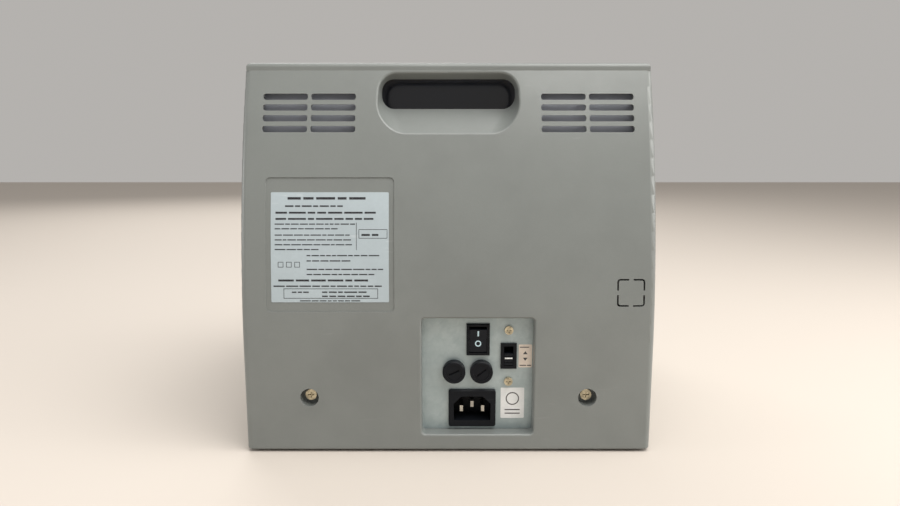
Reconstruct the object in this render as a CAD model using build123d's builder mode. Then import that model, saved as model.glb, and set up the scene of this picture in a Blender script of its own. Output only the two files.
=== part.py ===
from build123d import *
from math import acos, cos, degrees, radians, sin, sqrt, tau
import os

# Desktop banknote counter, friction feed, front loading and front stacking.
# Millimetres. +Z up, -Y is the operator's side, +Y the connector side, origin under the middle.

# ---- Driving dimensions: housing ----
body_width = 262.0
body_depth = 240.0
body_height = 249.5
wall = 2.5
foot_gap = 1.5
foot_radius = 9.0
top_band = 5.0
top_inset = 1.2
rear_flat_z = 62.0
rear_radius = 520.0
side_fillet = 4.0
edge_fillet = 1.5
rim_fillet = 1.3
split_y = 30.0
fit_gap = 0.4

# ---- Driving dimensions: rear face ----
vent_width = 59.0
vent_height = 4.0
vent_pitch = 6.8
vent_rows = 4
vent_x = 88.5
vent_top_z = 227.7
vent_rib = 2.0
handle_width = 92.3
handle_bottom_z = 203.2
handle_corner = 20.0
handle_mouth_width = 86.9
handle_mouth_low = 220.6
handle_mouth_high = 239.6
handle_mouth_corner = 8.0
handle_depth = 20.0
liner_depth = 24.0
liner_wall = 1.6
label_x = 74.5
label_width = 74.1
label_low_z = 99.4
label_high_z = 168.0
label_recess_margin = 3.4
label_recess_top = 9.3
label_recess_bottom = 6.1
label_recess_depth = 0.6
label_thickness = 0.2
knock_x = -115.0
knock_z = 105.4
knock_size = 17.6
knock_slit = 1.1
knock_bridge = 2.8
cover_screw_x = 89.3
cover_screw_z = 37.0
cover_screw_bore = 6.0
cover_screw_setback = 8.0

# ---- Driving dimensions: connector panel ----
recess_centre_x = -18.8
recess_width = 72.0
recess_low_z = 12.0
recess_high_z = 89.0
recess_corner = 2.5
panel_setback = 10.0
panel_thickness = 1.5
panel_margin = 8.0
inlet_x = -15.5
inlet_z = 26.7
inlet_width = 30.8
inlet_height = 25.0
inlet_flange = 2.5
inlet_body_width = 27.0
inlet_body_height = 20.0
inlet_body_depth = 22.0
socket_width = 24.2
socket_height = 16.5
socket_depth = 16.0
socket_chamfer = 5.0
pin_pitch = 14.0
pin_width = 2.0
pin_height = 4.0
pin_length = 13.0
switch_x = -19.2
switch_z = 73.0
switch_width = 15.0
switch_height = 21.0
switch_flange = 2.0
switch_depth = 18.0
switch_rim = 1.7
rocker_pin_radius = 1.0
rocker_tilt = 9.0
fuse_x = -12.5
fuse_z = 51.9
fuse_pitch = 17.8
fuse_cap_radius = 7.4
fuse_cap_height = 4.0
fuse_body_radius = 6.2
fuse_body_length = 34.0
fuse_glass_radius = 2.5
fuse_glass_length = 20.0
selector_x = -39.1
selector_z = 62.0
selector_width = 10.4
selector_height = 17.0
selector_flange = 1.6
selector_depth = 12.0
slider_height = 8.0
slider_width = 5.6
slider_travel = 4.5
panel_screw_offset = 17.2
panel_screw_radius = 2.8

# ---- Driving dimensions: chassis and note path ----
base_z = 3.5
base_thickness = 2.0
side_bay = 25.0
plate_thickness = 2.0
hopper_front_y = -58.0
hopper_front_z = 206.0
hopper_slope = 22.0
hopper_half = 95.0
hopper_thickness = 1.5
shaft_radius = 4.0
bearing_wall = 3.0
bearing_length = 6.0
running_clearance = 0.05
roller_clearance = 0.4
pickup_along = 63.0
pickup_radius = 13.5
pickup_proud = 1.0
feed_along = 100.0
feed_radius = 20.0
feed_proud = 1.0
retard_radius = 11.0
retard_angle = 35.0
transport_radius = 12.0
pinch_radius = 8.0
pinch_shaft_radius = 3.0
stacker_y = -36.0
stacker_z = 96.0
stacker_radius = 31.0
stacker_wheel_x = 52.0
stacker_wheel_width = 10.0
roller_x = 22.0
roller_width = 16.0
gear_module = 1.0
feed_gear_teeth = 48
transport_gear_teeth = 38
gear_width = 5.0
pulley_width = 7.0
belt_thickness = 1.2
belt_width = 5.0
tray_half = 92.0
mouth_low_z = 40.0
mouth_high_z = 128.0
motor_y = -8.0
motor_z = 46.0
motor_radius = 23.0
motor_length = 38.0

# ---- Driving dimensions: operator's side ----
front_low_z = 38.0
panel_low = (-106.0, 136.0)
panel_high = (-66.0, 208.0)
window_width = 88.0
window_height = 26.0
window_along = 52.0
key_size = 13.0
key_pitch = 24.0
key_along = 20.0
key_proud = 2.5
key_travel = 1.2
board_gap = 9.0
guide_height = 22.0
guide_travel = 28.0
guide_rest_x = 86.0
guide_along = 30.0
pinion_teeth = 16
rack_drop = 7.0
lid_half = 90.0
lid_length = 40.0
lid_thickness = 3.0
lid_front_drop = 46.0
lid_pin_radius = 2.0
knob_radius = 11.0
knob_y = 58.0

# ---- Derived places ----
half_width = body_width / 2
rear_y = body_depth / 2
front_y = -body_depth / 2
inner_half = half_width - wall
cover_top_z = body_height - top_band
panel_y = rear_y - panel_setback
plate_outer = inner_half - side_bay
plate_inner = plate_outer - plate_thickness
base_top = base_z + base_thickness
feed_pulley_x = plate_outer + 9
gear_x = plate_outer + 13.5
belt_x = plate_outer + 6.5

slope_cos = cos(radians(hopper_slope))
slope_sin = sin(radians(hopper_slope))
hopper_plane = Plane(
    origin=(0, hopper_front_y, hopper_front_z), x_dir=(1, 0, 0), z_dir=(0, slope_sin, slope_cos)
)


def on_hopper(along, above):
    """Give the (y, z) of a point this far down the hopper's slope and above its face."""
    return (
        hopper_front_y + along * slope_cos + above * slope_sin,
        hopper_front_z - along * slope_sin + above * slope_cos,
    )


pickup_at = on_hopper(pickup_along, pickup_proud - pickup_radius)
feed_at = on_hopper(feed_along, feed_proud - feed_radius)
retard_reach = feed_radius + roller_clearance + retard_radius
retard_at = (
    feed_at[0] + retard_reach * sin(radians(retard_angle)),
    feed_at[1] + retard_reach * cos(radians(retard_angle)),
)
gear_centres = gear_module * (feed_gear_teeth + transport_gear_teeth) / 2
transport_drop = feed_radius + transport_radius + roller_clearance / 2
transport_at = (
    feed_at[0] - sqrt(gear_centres**2 - transport_drop**2),
    feed_at[1] - transport_drop,
)
# The pinch roller sits straight above the transport roller, or leans away from the feed
# roller when that one is made larger.
pinch_reach = transport_radius + pinch_radius + roller_clearance
pinch_free = feed_radius + pinch_radius + 2 * roller_clearance
feed_bearing = degrees(acos((feed_at[0] - transport_at[0]) / gear_centres))
pinch_spread = degrees(
    acos((gear_centres**2 + pinch_reach**2 - pinch_free**2) / (2 * gear_centres * pinch_reach))
)
pinch_lean = radians(max(90.0, feed_bearing + pinch_spread))
pinch_at = (
    transport_at[0] + pinch_reach * cos(pinch_lean),
    transport_at[1] + pinch_reach * sin(pinch_lean),
)
stacker_at = (stacker_y, stacker_z)
motor_at = (motor_y, motor_z)


def rear_setback(z, inset=0.0):
    """Give how far the rear face lies in front of the rearmost plane at height z."""
    radius = rear_radius - inset
    rise = max(0.0, z - rear_flat_z)
    return inset + radius - sqrt(radius**2 - rise**2)


def block(x, y, z, mode=Mode.ADD):
    """Add or cut a box between pairs of x, y and z in the running part."""
    centre = ((x[0] + x[1]) / 2, (y[0] + y[1]) / 2, (z[0] + z[1]) / 2)
    with Locations(centre):
        Box(x[1] - x[0], y[1] - y[0], z[1] - z[0], mode=mode)


def rod(x, at, radius, mode=Mode.ADD):
    """Add or cut a cylinder along X between two x values, its axis at (y, z)."""
    with Locations(Location(((x[0] + x[1]) / 2, at[0], at[1]), (0, 90, 0))):
        Cylinder(radius, x[1] - x[0], mode=mode)


def post(at, y, radius, mode=Mode.ADD):
    """Add or cut a cylinder along Y between two y values, its axis at (x, z)."""
    with Locations(Location((at[0], (y[0] + y[1]) / 2, at[1]), (90, 0, 0))):
        Cylinder(radius, y[1] - y[0], mode=mode)


os.makedirs("parts", exist_ok=True)

# ---- Base: a folded steel plate on four rubber feet ----
base_half = inner_half
base_front = front_y + wall
base_rear = rear_y - wall
foot_x = half_width - 30
foot_y = body_depth / 2 - 26
with BuildPart() as base_plate:
    block((-base_half, base_half), (base_front, base_rear), (base_z, base_top))
    with Locations((0, 0, base_z)):
        with GridLocations(2 * foot_x, 2 * foot_y, 2, 2):
            Hole(2.0)
base_plate.part.label = "base_plate"
export_step(base_plate.part, "parts/base_plate.step")

with BuildPart() as feet:
    with BuildSketch(Plane.XY):
        with GridLocations(2 * foot_x, 2 * foot_y, 2, 2):
            Circle(foot_radius)
    extrude(amount=base_z)
    chamfer(feet.edges().group_by(Axis.Z)[0], 0.8)
    with BuildSketch(Plane.XY.offset(base_z)):
        with GridLocations(2 * foot_x, 2 * foot_y, 2, 2):
            Circle(2.0)
    extrude(amount=base_thickness)
feet.part.label = "feet"
export_step(feet.part, "parts/feet.step")

# ---- Rear cover: one moulded wall that wraps the back and both sides ----


def rear_outline(inset, low, high, front):
    """Give the rear cover's side outline, drawn in by inset, as a sketch across X."""
    arc_y = rear_y - rear_setback(high, inset)
    middle_z = (rear_flat_z + high) / 2
    middle_y = rear_y - rear_setback(middle_z, inset)
    with BuildSketch(Plane.YZ) as outline:
        with BuildLine():
            Line((front, low), (rear_y - inset, low))
            Line((rear_y - inset, low), (rear_y - inset, rear_flat_z))
            ThreePointArc((rear_y - inset, rear_flat_z), (middle_y, middle_z), (arc_y, high))
            Line((arc_y, high), (front, high))
            Line((front, high), (front, low))
        make_face()
    return outline.sketch


def stadium(plane, width, low, high, corner):
    """Give a rounded rectangle centred on X between two heights, on a plane across Y."""
    with BuildSketch(plane) as outline:
        with Locations((0, (low + high) / 2)):
            RectangleRounded(width, high - low, corner)
    return outline.sketch


# The recess runs between two stadium outlines, each on its own plane across Y.
handle_rim_y = rear_y - rear_setback(handle_bottom_z)
handle_rim_high = cover_top_z + 6.0
mouth_y = handle_rim_y - handle_depth
rim_plane = Plane(origin=(0, handle_rim_y + 1, 0), x_dir=(-1, 0, 0), z_dir=(0, 1, 0))
mouth_plane = Plane(origin=(0, mouth_y, 0), x_dir=(-1, 0, 0), z_dir=(0, 1, 0))



def bowl_sections(grow):
    """Give the recess's mouth and rim outlines, each grown by a wall's thickness."""
    mouth = stadium(mouth_plane, handle_mouth_width + 2 * grow, handle_mouth_low - grow,
                    handle_mouth_high + grow, handle_mouth_corner + grow)
    rim = stadium(rim_plane, handle_width + 2 * grow, handle_bottom_z - grow,
                  handle_rim_high + grow, handle_corner + grow)
    return [mouth, rim]


with BuildPart() as handle_bowl:
    loft(bowl_sections(wall))

with BuildPart() as handle_space:
    loft(bowl_sections(0))

with BuildPart() as rear_shape:
    extrude(rear_outline(0, foot_gap, cover_top_z, split_y), amount=half_width, both=True)
    rear_edges = rear_shape.edges().filter_by_position(Axis.Y, rear_y - 45, rear_y + 1)
    side_edges = [edge for edge in rear_edges if abs(abs(edge.center().X) - half_width) < 0.01]
    fillet([edge for edge in side_edges if edge.bounding_box().size.Z > 20], side_fillet)
    low_edges = rear_shape.edges().group_by(Axis.Z)[0]
    fillet([edge for edge in low_edges if edge.center().Y > split_y + 1], edge_fillet)

# The label lies in a shallow recess of even depth that follows the curved face.
label_recess_high = label_high_z + label_recess_top
label_recess_low = label_low_z - label_recess_bottom
across_y = Plane(origin=(0, rear_y - 70, 0), x_dir=(-1, 0, 0), z_dir=(0, 1, 0))
with BuildPart() as label_space:
    with BuildSketch(across_y):
        with Locations((-label_x, (label_recess_high + label_recess_low) / 2)):
            RectangleRounded(
                label_width + 2 * label_recess_margin, label_recess_high - label_recess_low, 3.0
            )
    extrude(amount=90)
    body_side = rear_outline(label_recess_depth, foot_gap - 5, cover_top_z + 5, split_y - 5)
    extrude(body_side, amount=half_width + 5, both=True, mode=Mode.SUBTRACT)

recess_x = (recess_centre_x - recess_width / 2, recess_centre_x + recess_width / 2)
recess_z = (recess_low_z, recess_high_z)
shroud_y = (panel_y + fit_gap, rear_y - wall / 2)
recess_side = Plane(origin=(0, shroud_y[0], 0), x_dir=(-1, 0, 0), z_dir=(0, 1, 0))
recess_centre = (-(recess_x[0] + recess_x[1]) / 2, (recess_z[0] + recess_z[1]) / 2)
recess_height = recess_z[1] - recess_z[0]
vent_slot = (vent_width - vent_rib) / 2
with BuildPart() as rear_cover:
    add(rear_shape.part)
    body_side = rear_outline(wall, foot_gap - 5, cover_top_z + 5, split_y - 5)
    extrude(body_side, amount=inner_half, both=True, mode=Mode.SUBTRACT)
    add(handle_bowl.part & rear_shape.part)
    add(handle_space.part, mode=Mode.SUBTRACT)
    add(label_space.part, mode=Mode.SUBTRACT)
    # The connector recess is a square tube that reaches in to the steel panel.
    with BuildSketch(recess_side):
        with Locations(recess_centre):
            RectangleRounded(recess_width + 2 * wall, recess_height + 2 * wall, recess_corner)
    extrude(amount=shroud_y[1] - shroud_y[0])
    with BuildSketch(recess_side):
        with Locations(recess_centre):
            RectangleRounded(recess_width, recess_height, recess_corner)
    extrude(amount=panel_setback + 5, mode=Mode.SUBTRACT)
    # Deep counterbored bosses for the two cover screws.
    for screw_x in (-cover_screw_x, cover_screw_x):
        screw_at = (screw_x, cover_screw_z)
        floor_y = rear_y - cover_screw_setback
        post(screw_at, (floor_y - wall, rear_y - wall / 2), cover_screw_bore + 2)
        post(screw_at, (floor_y, rear_y + 1), cover_screw_bore, Mode.SUBTRACT)
        post(screw_at, (floor_y - wall - 1, rear_y), 2.0, Mode.SUBTRACT)
    # Ventilation slots, each row split by a rib.
    with BuildSketch(across_y):
        for group_x in (-vent_x, vent_x):
            for row in range(vent_rows):
                for side in (-1, 1):
                    slot_x = group_x + side * (vent_slot + vent_rib) / 2
                    with Locations((slot_x, vent_top_z - row * vent_pitch)):
                        RectangleRounded(vent_slot, vent_height, vent_height * 0.4)
    extrude(amount=90, mode=Mode.SUBTRACT)
    # A knock-out: a square of slits held by four bridges.
    with BuildSketch(across_y):
        with Locations((-knock_x, knock_z)):
            RectangleRounded(knock_size, knock_size, 2.0)
            inner_size = knock_size - 2 * knock_slit
            RectangleRounded(inner_size, inner_size, 1.0, mode=Mode.SUBTRACT)
            Rectangle(knock_bridge, knock_size + 1, mode=Mode.SUBTRACT)
            Rectangle(knock_size + 1, knock_bridge, mode=Mode.SUBTRACT)
    extrude(amount=90, mode=Mode.SUBTRACT)
    # Both recesses have softened rims.
    rims = [
        edge
        for edge in rear_cover.edges()
        if all(abs(at.Y - rear_y + rear_setback(at.Z)) < 0.02 for at in edge.vertices())
        and (
            abs(edge.center().X) < handle_width / 2
            and handle_bottom_z - 0.5 < edge.center().Z < cover_top_z - 0.5
            or recess_x[0] - 0.1 < edge.center().X < recess_x[1] + 0.1
            and recess_z[0] - 0.1 < edge.center().Z < recess_z[1] + 0.1
        )
    ]
    fillet(rims, rim_fillet)
rear_cover.part.label = "rear_cover"
export_step(rear_cover.part, "parts/rear_cover.step")

with BuildPart() as handle_pocket:
    cup_plane = Plane(origin=(0, mouth_y, 0), x_dir=(1, 0, 0), z_dir=(0, -1, 0))
    outside = stadium(cup_plane, handle_mouth_width + 2 * wall, handle_mouth_low - wall,
                      handle_mouth_high + wall, handle_mouth_corner + wall)
    extrude(outside, amount=liner_depth + liner_wall)
    fillet(handle_pocket.faces().sort_by(Axis.Y)[0].edges(), edge_fillet)
    lip = wall - liner_wall
    inside = stadium(cup_plane, handle_mouth_width + 2 * lip, handle_mouth_low - lip,
                     handle_mouth_high + lip, handle_mouth_corner + lip)
    extrude(inside, amount=liner_depth, mode=Mode.SUBTRACT)
handle_pocket.part.label = "handle_pocket"
export_step(handle_pocket.part, "parts/handle_pocket.step")

# ---- Rating label and the steel strip behind the vents ----
with BuildPart() as rating_label:
    with BuildSketch(across_y):
        with Locations((-label_x, (label_high_z + label_low_z) / 2)):
            RectangleRounded(label_width, label_high_z - label_low_z, 0.8)
    extrude(amount=90)
    body_side = rear_outline(label_recess_depth, foot_gap - 5, cover_top_z + 5, split_y - 5)
    extrude(body_side, amount=half_width + 5, both=True, mode=Mode.SUBTRACT)
    label_face = label_recess_depth - label_thickness
    kept = rear_outline(label_face, foot_gap - 9, cover_top_z + 9, split_y - 9)
    extrude(kept, amount=half_width + 9, both=True, mode=Mode.INTERSECT)
rating_label.part.label = "rating_label"
export_step(rating_label.part, "parts/rating_label.step")

baffle_gap = 4.0
baffle_low = vent_top_z - vent_rows * vent_pitch
baffle_high = vent_top_z + vent_pitch
with BuildPart() as vent_baffle:
    for side in (-1, 1):
        with BuildSketch(across_y):
            with Locations((side * vent_x, (baffle_low + baffle_high) / 2)):
                Rectangle(vent_width + 8, baffle_high - baffle_low)
        extrude(amount=90)
    body_side = rear_outline(wall + baffle_gap + 1.0, foot_gap - 5, cover_top_z + 5, split_y - 5)
    extrude(body_side, amount=half_width, both=True, mode=Mode.SUBTRACT)
    body_side = rear_outline(wall + baffle_gap, foot_gap - 9, cover_top_z + 9, split_y - 9)
    extrude(body_side, amount=half_width + 5, both=True, mode=Mode.INTERSECT)
    # A tab at the low outer corner of each strip stands it off the cover.
    for side in (-1, 1):
        tab_x = side * (vent_x + vent_width / 2 + 2.5)
        tab_y = rear_y - rear_setback(baffle_low)
        tab_reach = wall + baffle_gap + 2.0
        block((tab_x - 1.5, tab_x + 1.5), (tab_y - tab_reach, tab_y), (baffle_low, baffle_low + 5))
    body_side = rear_outline(wall, foot_gap - 9, cover_top_z + 9, split_y - 9)
    extrude(body_side, amount=half_width + 5, both=True, mode=Mode.INTERSECT)
vent_baffle.part.label = "vent_baffle"
export_step(vent_baffle.part, "parts/vent_baffle.step")

# ---- Connector panel: a zinc-plated steel plate folded from a foot on the base ----
panel_back = panel_y - panel_thickness
panel_x = (recess_x[0] - panel_margin, recess_x[1] + panel_margin)
panel_top = recess_high_z + panel_margin
panel_foot = 14.0
fuse_at = [(fuse_x + fuse_pitch / 2, fuse_z), (fuse_x - fuse_pitch / 2, fuse_z)]
screw_at = [(selector_x, selector_z + side * panel_screw_offset) for side in (-1, 1)]
with BuildPart() as inlet_panel:
    block(panel_x, (panel_back, panel_y), (base_top, panel_top))
    block(panel_x, (panel_back - panel_foot, panel_back), (base_top, base_top + panel_thickness))
    through_y = (panel_back - 1, panel_y + 1)
    for centre_x, centre_z, width, height in (
        (inlet_x, inlet_z, inlet_body_width, inlet_body_height),
        (switch_x, switch_z, switch_width - 2, switch_height - 2),
        (selector_x, selector_z, selector_width - 2, selector_height - 2),
    ):
        opening_x = (centre_x - width / 2 - fit_gap / 2, centre_x + width / 2 + fit_gap / 2)
        opening_z = (centre_z - height / 2 - fit_gap / 2, centre_z + height / 2 + fit_gap / 2)
        block(opening_x, through_y, opening_z, Mode.SUBTRACT)
    for centre in fuse_at:
        post(centre, through_y, fuse_body_radius + fit_gap / 2, Mode.SUBTRACT)
    for centre in screw_at:
        post(centre, through_y, 1.55, Mode.SUBTRACT)
inlet_panel.part.label = "inlet_panel"
export_step(inlet_panel.part, "parts/inlet_panel.step")

# ---- Mains inlet: a snap-in socket body with three blades ----
inlet_face_y = panel_y + inlet_flange
facing_out = Plane(origin=(inlet_x, inlet_face_y, inlet_z), x_dir=(-1, 0, 0), z_dir=(0, 1, 0))
socket_half = socket_width / 2
socket_top = socket_height / 2
with BuildPart() as inlet_body:
    with BuildSketch(facing_out):
        RectangleRounded(inlet_width, inlet_height, 1.5)
    extrude(amount=-inlet_flange)
    chamfer(inlet_body.faces().sort_by(Axis.Y)[-1].edges(), 0.5)
    with BuildSketch(facing_out.offset(-inlet_flange)):
        Rectangle(inlet_body_width, inlet_body_height)
    extrude(amount=-inlet_body_depth)
    with BuildSketch(facing_out):
        with BuildLine():
            Polyline(
                (-socket_half, -socket_top),
                (socket_half, -socket_top),
                (socket_half, socket_top - socket_chamfer),
                (socket_half - socket_chamfer, socket_top),
                (socket_chamfer - socket_half, socket_top),
                (-socket_half, socket_top - socket_chamfer),
                close=True,
            )
        make_face()
    extrude(amount=-socket_depth, mode=Mode.SUBTRACT)
inlet_body.part.label = "inlet_body"
export_step(inlet_body.part, "parts/inlet_body.step")

pin_floor_y = inlet_face_y - socket_depth
pin_places = [(-pin_pitch / 2, -1.0), (0, 2.0), (pin_pitch / 2, -1.0)]
with BuildPart() as inlet_pins:
    for pin_x, pin_z in pin_places:
        wide = (inlet_x + pin_x - pin_width / 2, inlet_x + pin_x + pin_width / 2)
        tall = (inlet_z + pin_z - pin_height / 2, inlet_z + pin_z + pin_height / 2)
        block(wide, (pin_floor_y, pin_floor_y + pin_length), tall)
inlet_pins.part.label = "inlet_pins"
export_step(inlet_pins.part, "parts/inlet_pins.step")

# ---- Power switch: a bezel with a rocker that tips about a pivot across it ----
rocker_half_width = switch_width / 2 - switch_rim - fit_gap / 2
rocker_half_height = switch_height / 2 - switch_rim - 1.0
switch_face_y = panel_y + switch_flange
pivot_y = panel_y - 1.0
pivot_at = (pivot_y, switch_z)
with BuildPart() as switch_body:
    outer_x = (switch_x - switch_width / 2, switch_x + switch_width / 2)
    outer_z = (switch_z - switch_height / 2, switch_z + switch_height / 2)
    block(outer_x, (panel_y, switch_face_y), outer_z)
    chamfer(switch_body.faces().sort_by(Axis.Y)[-1].edges(), 0.6)
    body_x = (outer_x[0] + 1, outer_x[1] - 1)
    body_z = (outer_z[0] + 1, outer_z[1] - 1)
    block(body_x, (panel_y - switch_depth, panel_y), body_z)
    well_x = (outer_x[0] + switch_rim, outer_x[1] - switch_rim)
    well_z = (outer_z[0] + switch_rim, outer_z[1] - switch_rim)
    block(well_x, (panel_y - switch_depth / 2, switch_face_y + 1), well_z, Mode.SUBTRACT)
    rod((well_x[0] - 0.5, well_x[1] + 0.5), pivot_at, rocker_pin_radius)
switch_body.part.label = "switch_body"
export_step(switch_body.part, "parts/switch_body.step")

# The rocker rests with its lower half pressed in, so its side plane is tipped.
rocker_plane = Plane(
    origin=(switch_x - rocker_half_width, pivot_y, switch_z),
    x_dir=(0, cos(radians(rocker_tilt)), -sin(radians(rocker_tilt))),
    z_dir=(1, 0, 0),
)
rocker_front = switch_face_y - pivot_y + 0.4
rocker_valley = rocker_front - 1.2
rocker_shoulder = panel_y - pivot_y
with BuildPart() as power_rocker:
    with BuildSketch(rocker_plane):
        with BuildLine():
            Polyline(
                (-3.0, -3.5),
                (rocker_shoulder, -rocker_half_height),
                (rocker_front, -rocker_half_height),
                (rocker_valley, 0),
                (rocker_front, rocker_half_height),
                (rocker_shoulder, rocker_half_height),
                (-3.0, 3.5),
                close=True,
            )
        make_face()
    extrude(amount=2 * rocker_half_width)
    rod(well_x, pivot_at, rocker_pin_radius + running_clearance, Mode.SUBTRACT)
power_rocker.part.label = "power_rocker"
export_step(power_rocker.part, "parts/power_rocker.step")

# ---- Fuse holders: threaded bodies, glass fuses and quarter-turn caps ----
fuse_seat_y = panel_y + 1.2
fuse_bore = fuse_glass_radius + 1.2
with BuildPart() as fuse_holders:
    for centre in fuse_at:
        post(centre, (panel_y, fuse_seat_y), fuse_cap_radius)
        post(centre, (panel_y - fuse_body_length, panel_y), fuse_body_radius)
        post(centre, (panel_y - fuse_body_length + 2, fuse_seat_y), fuse_bore, Mode.SUBTRACT)
fuse_holders.part.label = "fuse_holders"
export_step(fuse_holders.part, "parts/fuse_holders.step")

cap_y = (fuse_seat_y + 0.1, fuse_seat_y + 0.1 + fuse_cap_height)
slot_angles = (25.0, 38.0)
cap_dish = 0.5
cap_slot_length = 7.5
cap_slot_width = 1.3
cap_slot_depth = 1.2
for side, centre, slot_angle in zip(("left", "right"), fuse_at, slot_angles):
    with BuildPart() as fuse_cap:
        post(centre, cap_y, fuse_cap_radius)
        chamfer(fuse_cap.faces().sort_by(Axis.Y)[-1].edges(), 0.6)
        post(centre, (cap_y[1] - cap_dish, cap_y[1]), fuse_cap_radius * 0.72, Mode.SUBTRACT)
        cap_face = Plane(
            origin=(centre[0], cap_y[1] - cap_dish, centre[1]), x_dir=(-1, 0, 0), z_dir=(0, 1, 0)
        )
        with BuildSketch(cap_face):
            Rectangle(cap_slot_length, cap_slot_width, rotation=slot_angle)
        extrude(amount=-cap_slot_depth, mode=Mode.SUBTRACT)
    fuse_cap.part.label = f"fuse_cap_{side}"
    export_step(fuse_cap.part, f"parts/fuse_cap_{side}.step")

    with BuildPart() as fuse:
        post(centre, (cap_y[0] - 1.5 - fuse_glass_length, cap_y[0]), fuse_glass_radius)
    fuse.part.label = f"fuse_{side}"
    export_step(fuse.part, f"parts/fuse_{side}.step")

# ---- Voltage selector: a housing with a ribbed slider in a long window ----
selector_face_y = panel_y + selector_flange
slider_low_z = selector_z - slider_travel / 2 - slider_height / 2
with BuildPart() as selector_body:
    outer_x = (selector_x - selector_width / 2, selector_x + selector_width / 2)
    outer_z = (selector_z - selector_height / 2, selector_z + selector_height / 2)
    block(outer_x, (panel_y, selector_face_y), outer_z)
    block((outer_x[0] + 1, outer_x[1] - 1), (panel_y - selector_depth, panel_y),
          (outer_z[0] + 1, outer_z[1] - 1))
    window_x = (selector_x - slider_width / 2 - 0.3, selector_x + slider_width / 2 + 0.3)
    window_reach = (slider_height + slider_travel) / 2 + 0.3
    window_z = (selector_z - window_reach, selector_z + window_reach)
    block(window_x, (panel_y - selector_depth + 2, selector_face_y + 1), window_z, Mode.SUBTRACT)
selector_body.part.label = "selector_body"
export_step(selector_body.part, "parts/selector_body.step")

rib_count = 4
with BuildPart() as voltage_slider:
    slider_x = (selector_x - slider_width / 2, selector_x + slider_width / 2)
    slider_z = (slider_low_z, slider_low_z + slider_height)
    block(slider_x, (panel_y - selector_depth + 2.4, selector_face_y - 0.8), slider_z)
    rib_pitch = slider_height / rib_count
    for rib in range(rib_count):
        rib_z = slider_z[0] + (rib + 0.5) * rib_pitch
        block(slider_x, (selector_face_y - 0.9, selector_face_y), (rib_z - 0.5, rib_z + 0.5))
voltage_slider.part.label = "voltage_slider"
export_step(voltage_slider.part, "parts/voltage_slider.step")


def pan_screw(at, seat_y, head_radius, head_height, shank_radius, shank_length):
    """Add a pan-head screw whose head stands rearwards on the plane at seat_y."""
    post(at, (seat_y, seat_y + head_height), head_radius)
    post(at, (seat_y - shank_length, seat_y), shank_radius)
    for size in ((head_radius * 1.1, 0.7), (0.7, head_radius * 1.1)):
        cross_x = (at[0] - size[0] / 2, at[0] + size[0] / 2)
        cross_z = (at[1] - size[1] / 2, at[1] + size[1] / 2)
        block(cross_x, (seat_y + head_height * 0.4, seat_y + head_height + 1), cross_z,
              Mode.SUBTRACT)


with BuildPart() as panel_screws:
    for centre in screw_at:
        pan_screw(centre, panel_y, panel_screw_radius, 1.8, 1.5, 6.0)
panel_screws.part.label = "panel_screws"
export_step(panel_screws.part, "parts/panel_screws.step")

with BuildPart() as cover_screws:
    for side in (-1, 1):
        screw_place = (side * cover_screw_x, cover_screw_z)
        pan_screw(screw_place, rear_y - cover_screw_setback, 3.6, 2.4, 1.9, 14.0)
cover_screws.part.label = "cover_screws"
export_step(cover_screws.part, "parts/cover_screws.step")

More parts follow.
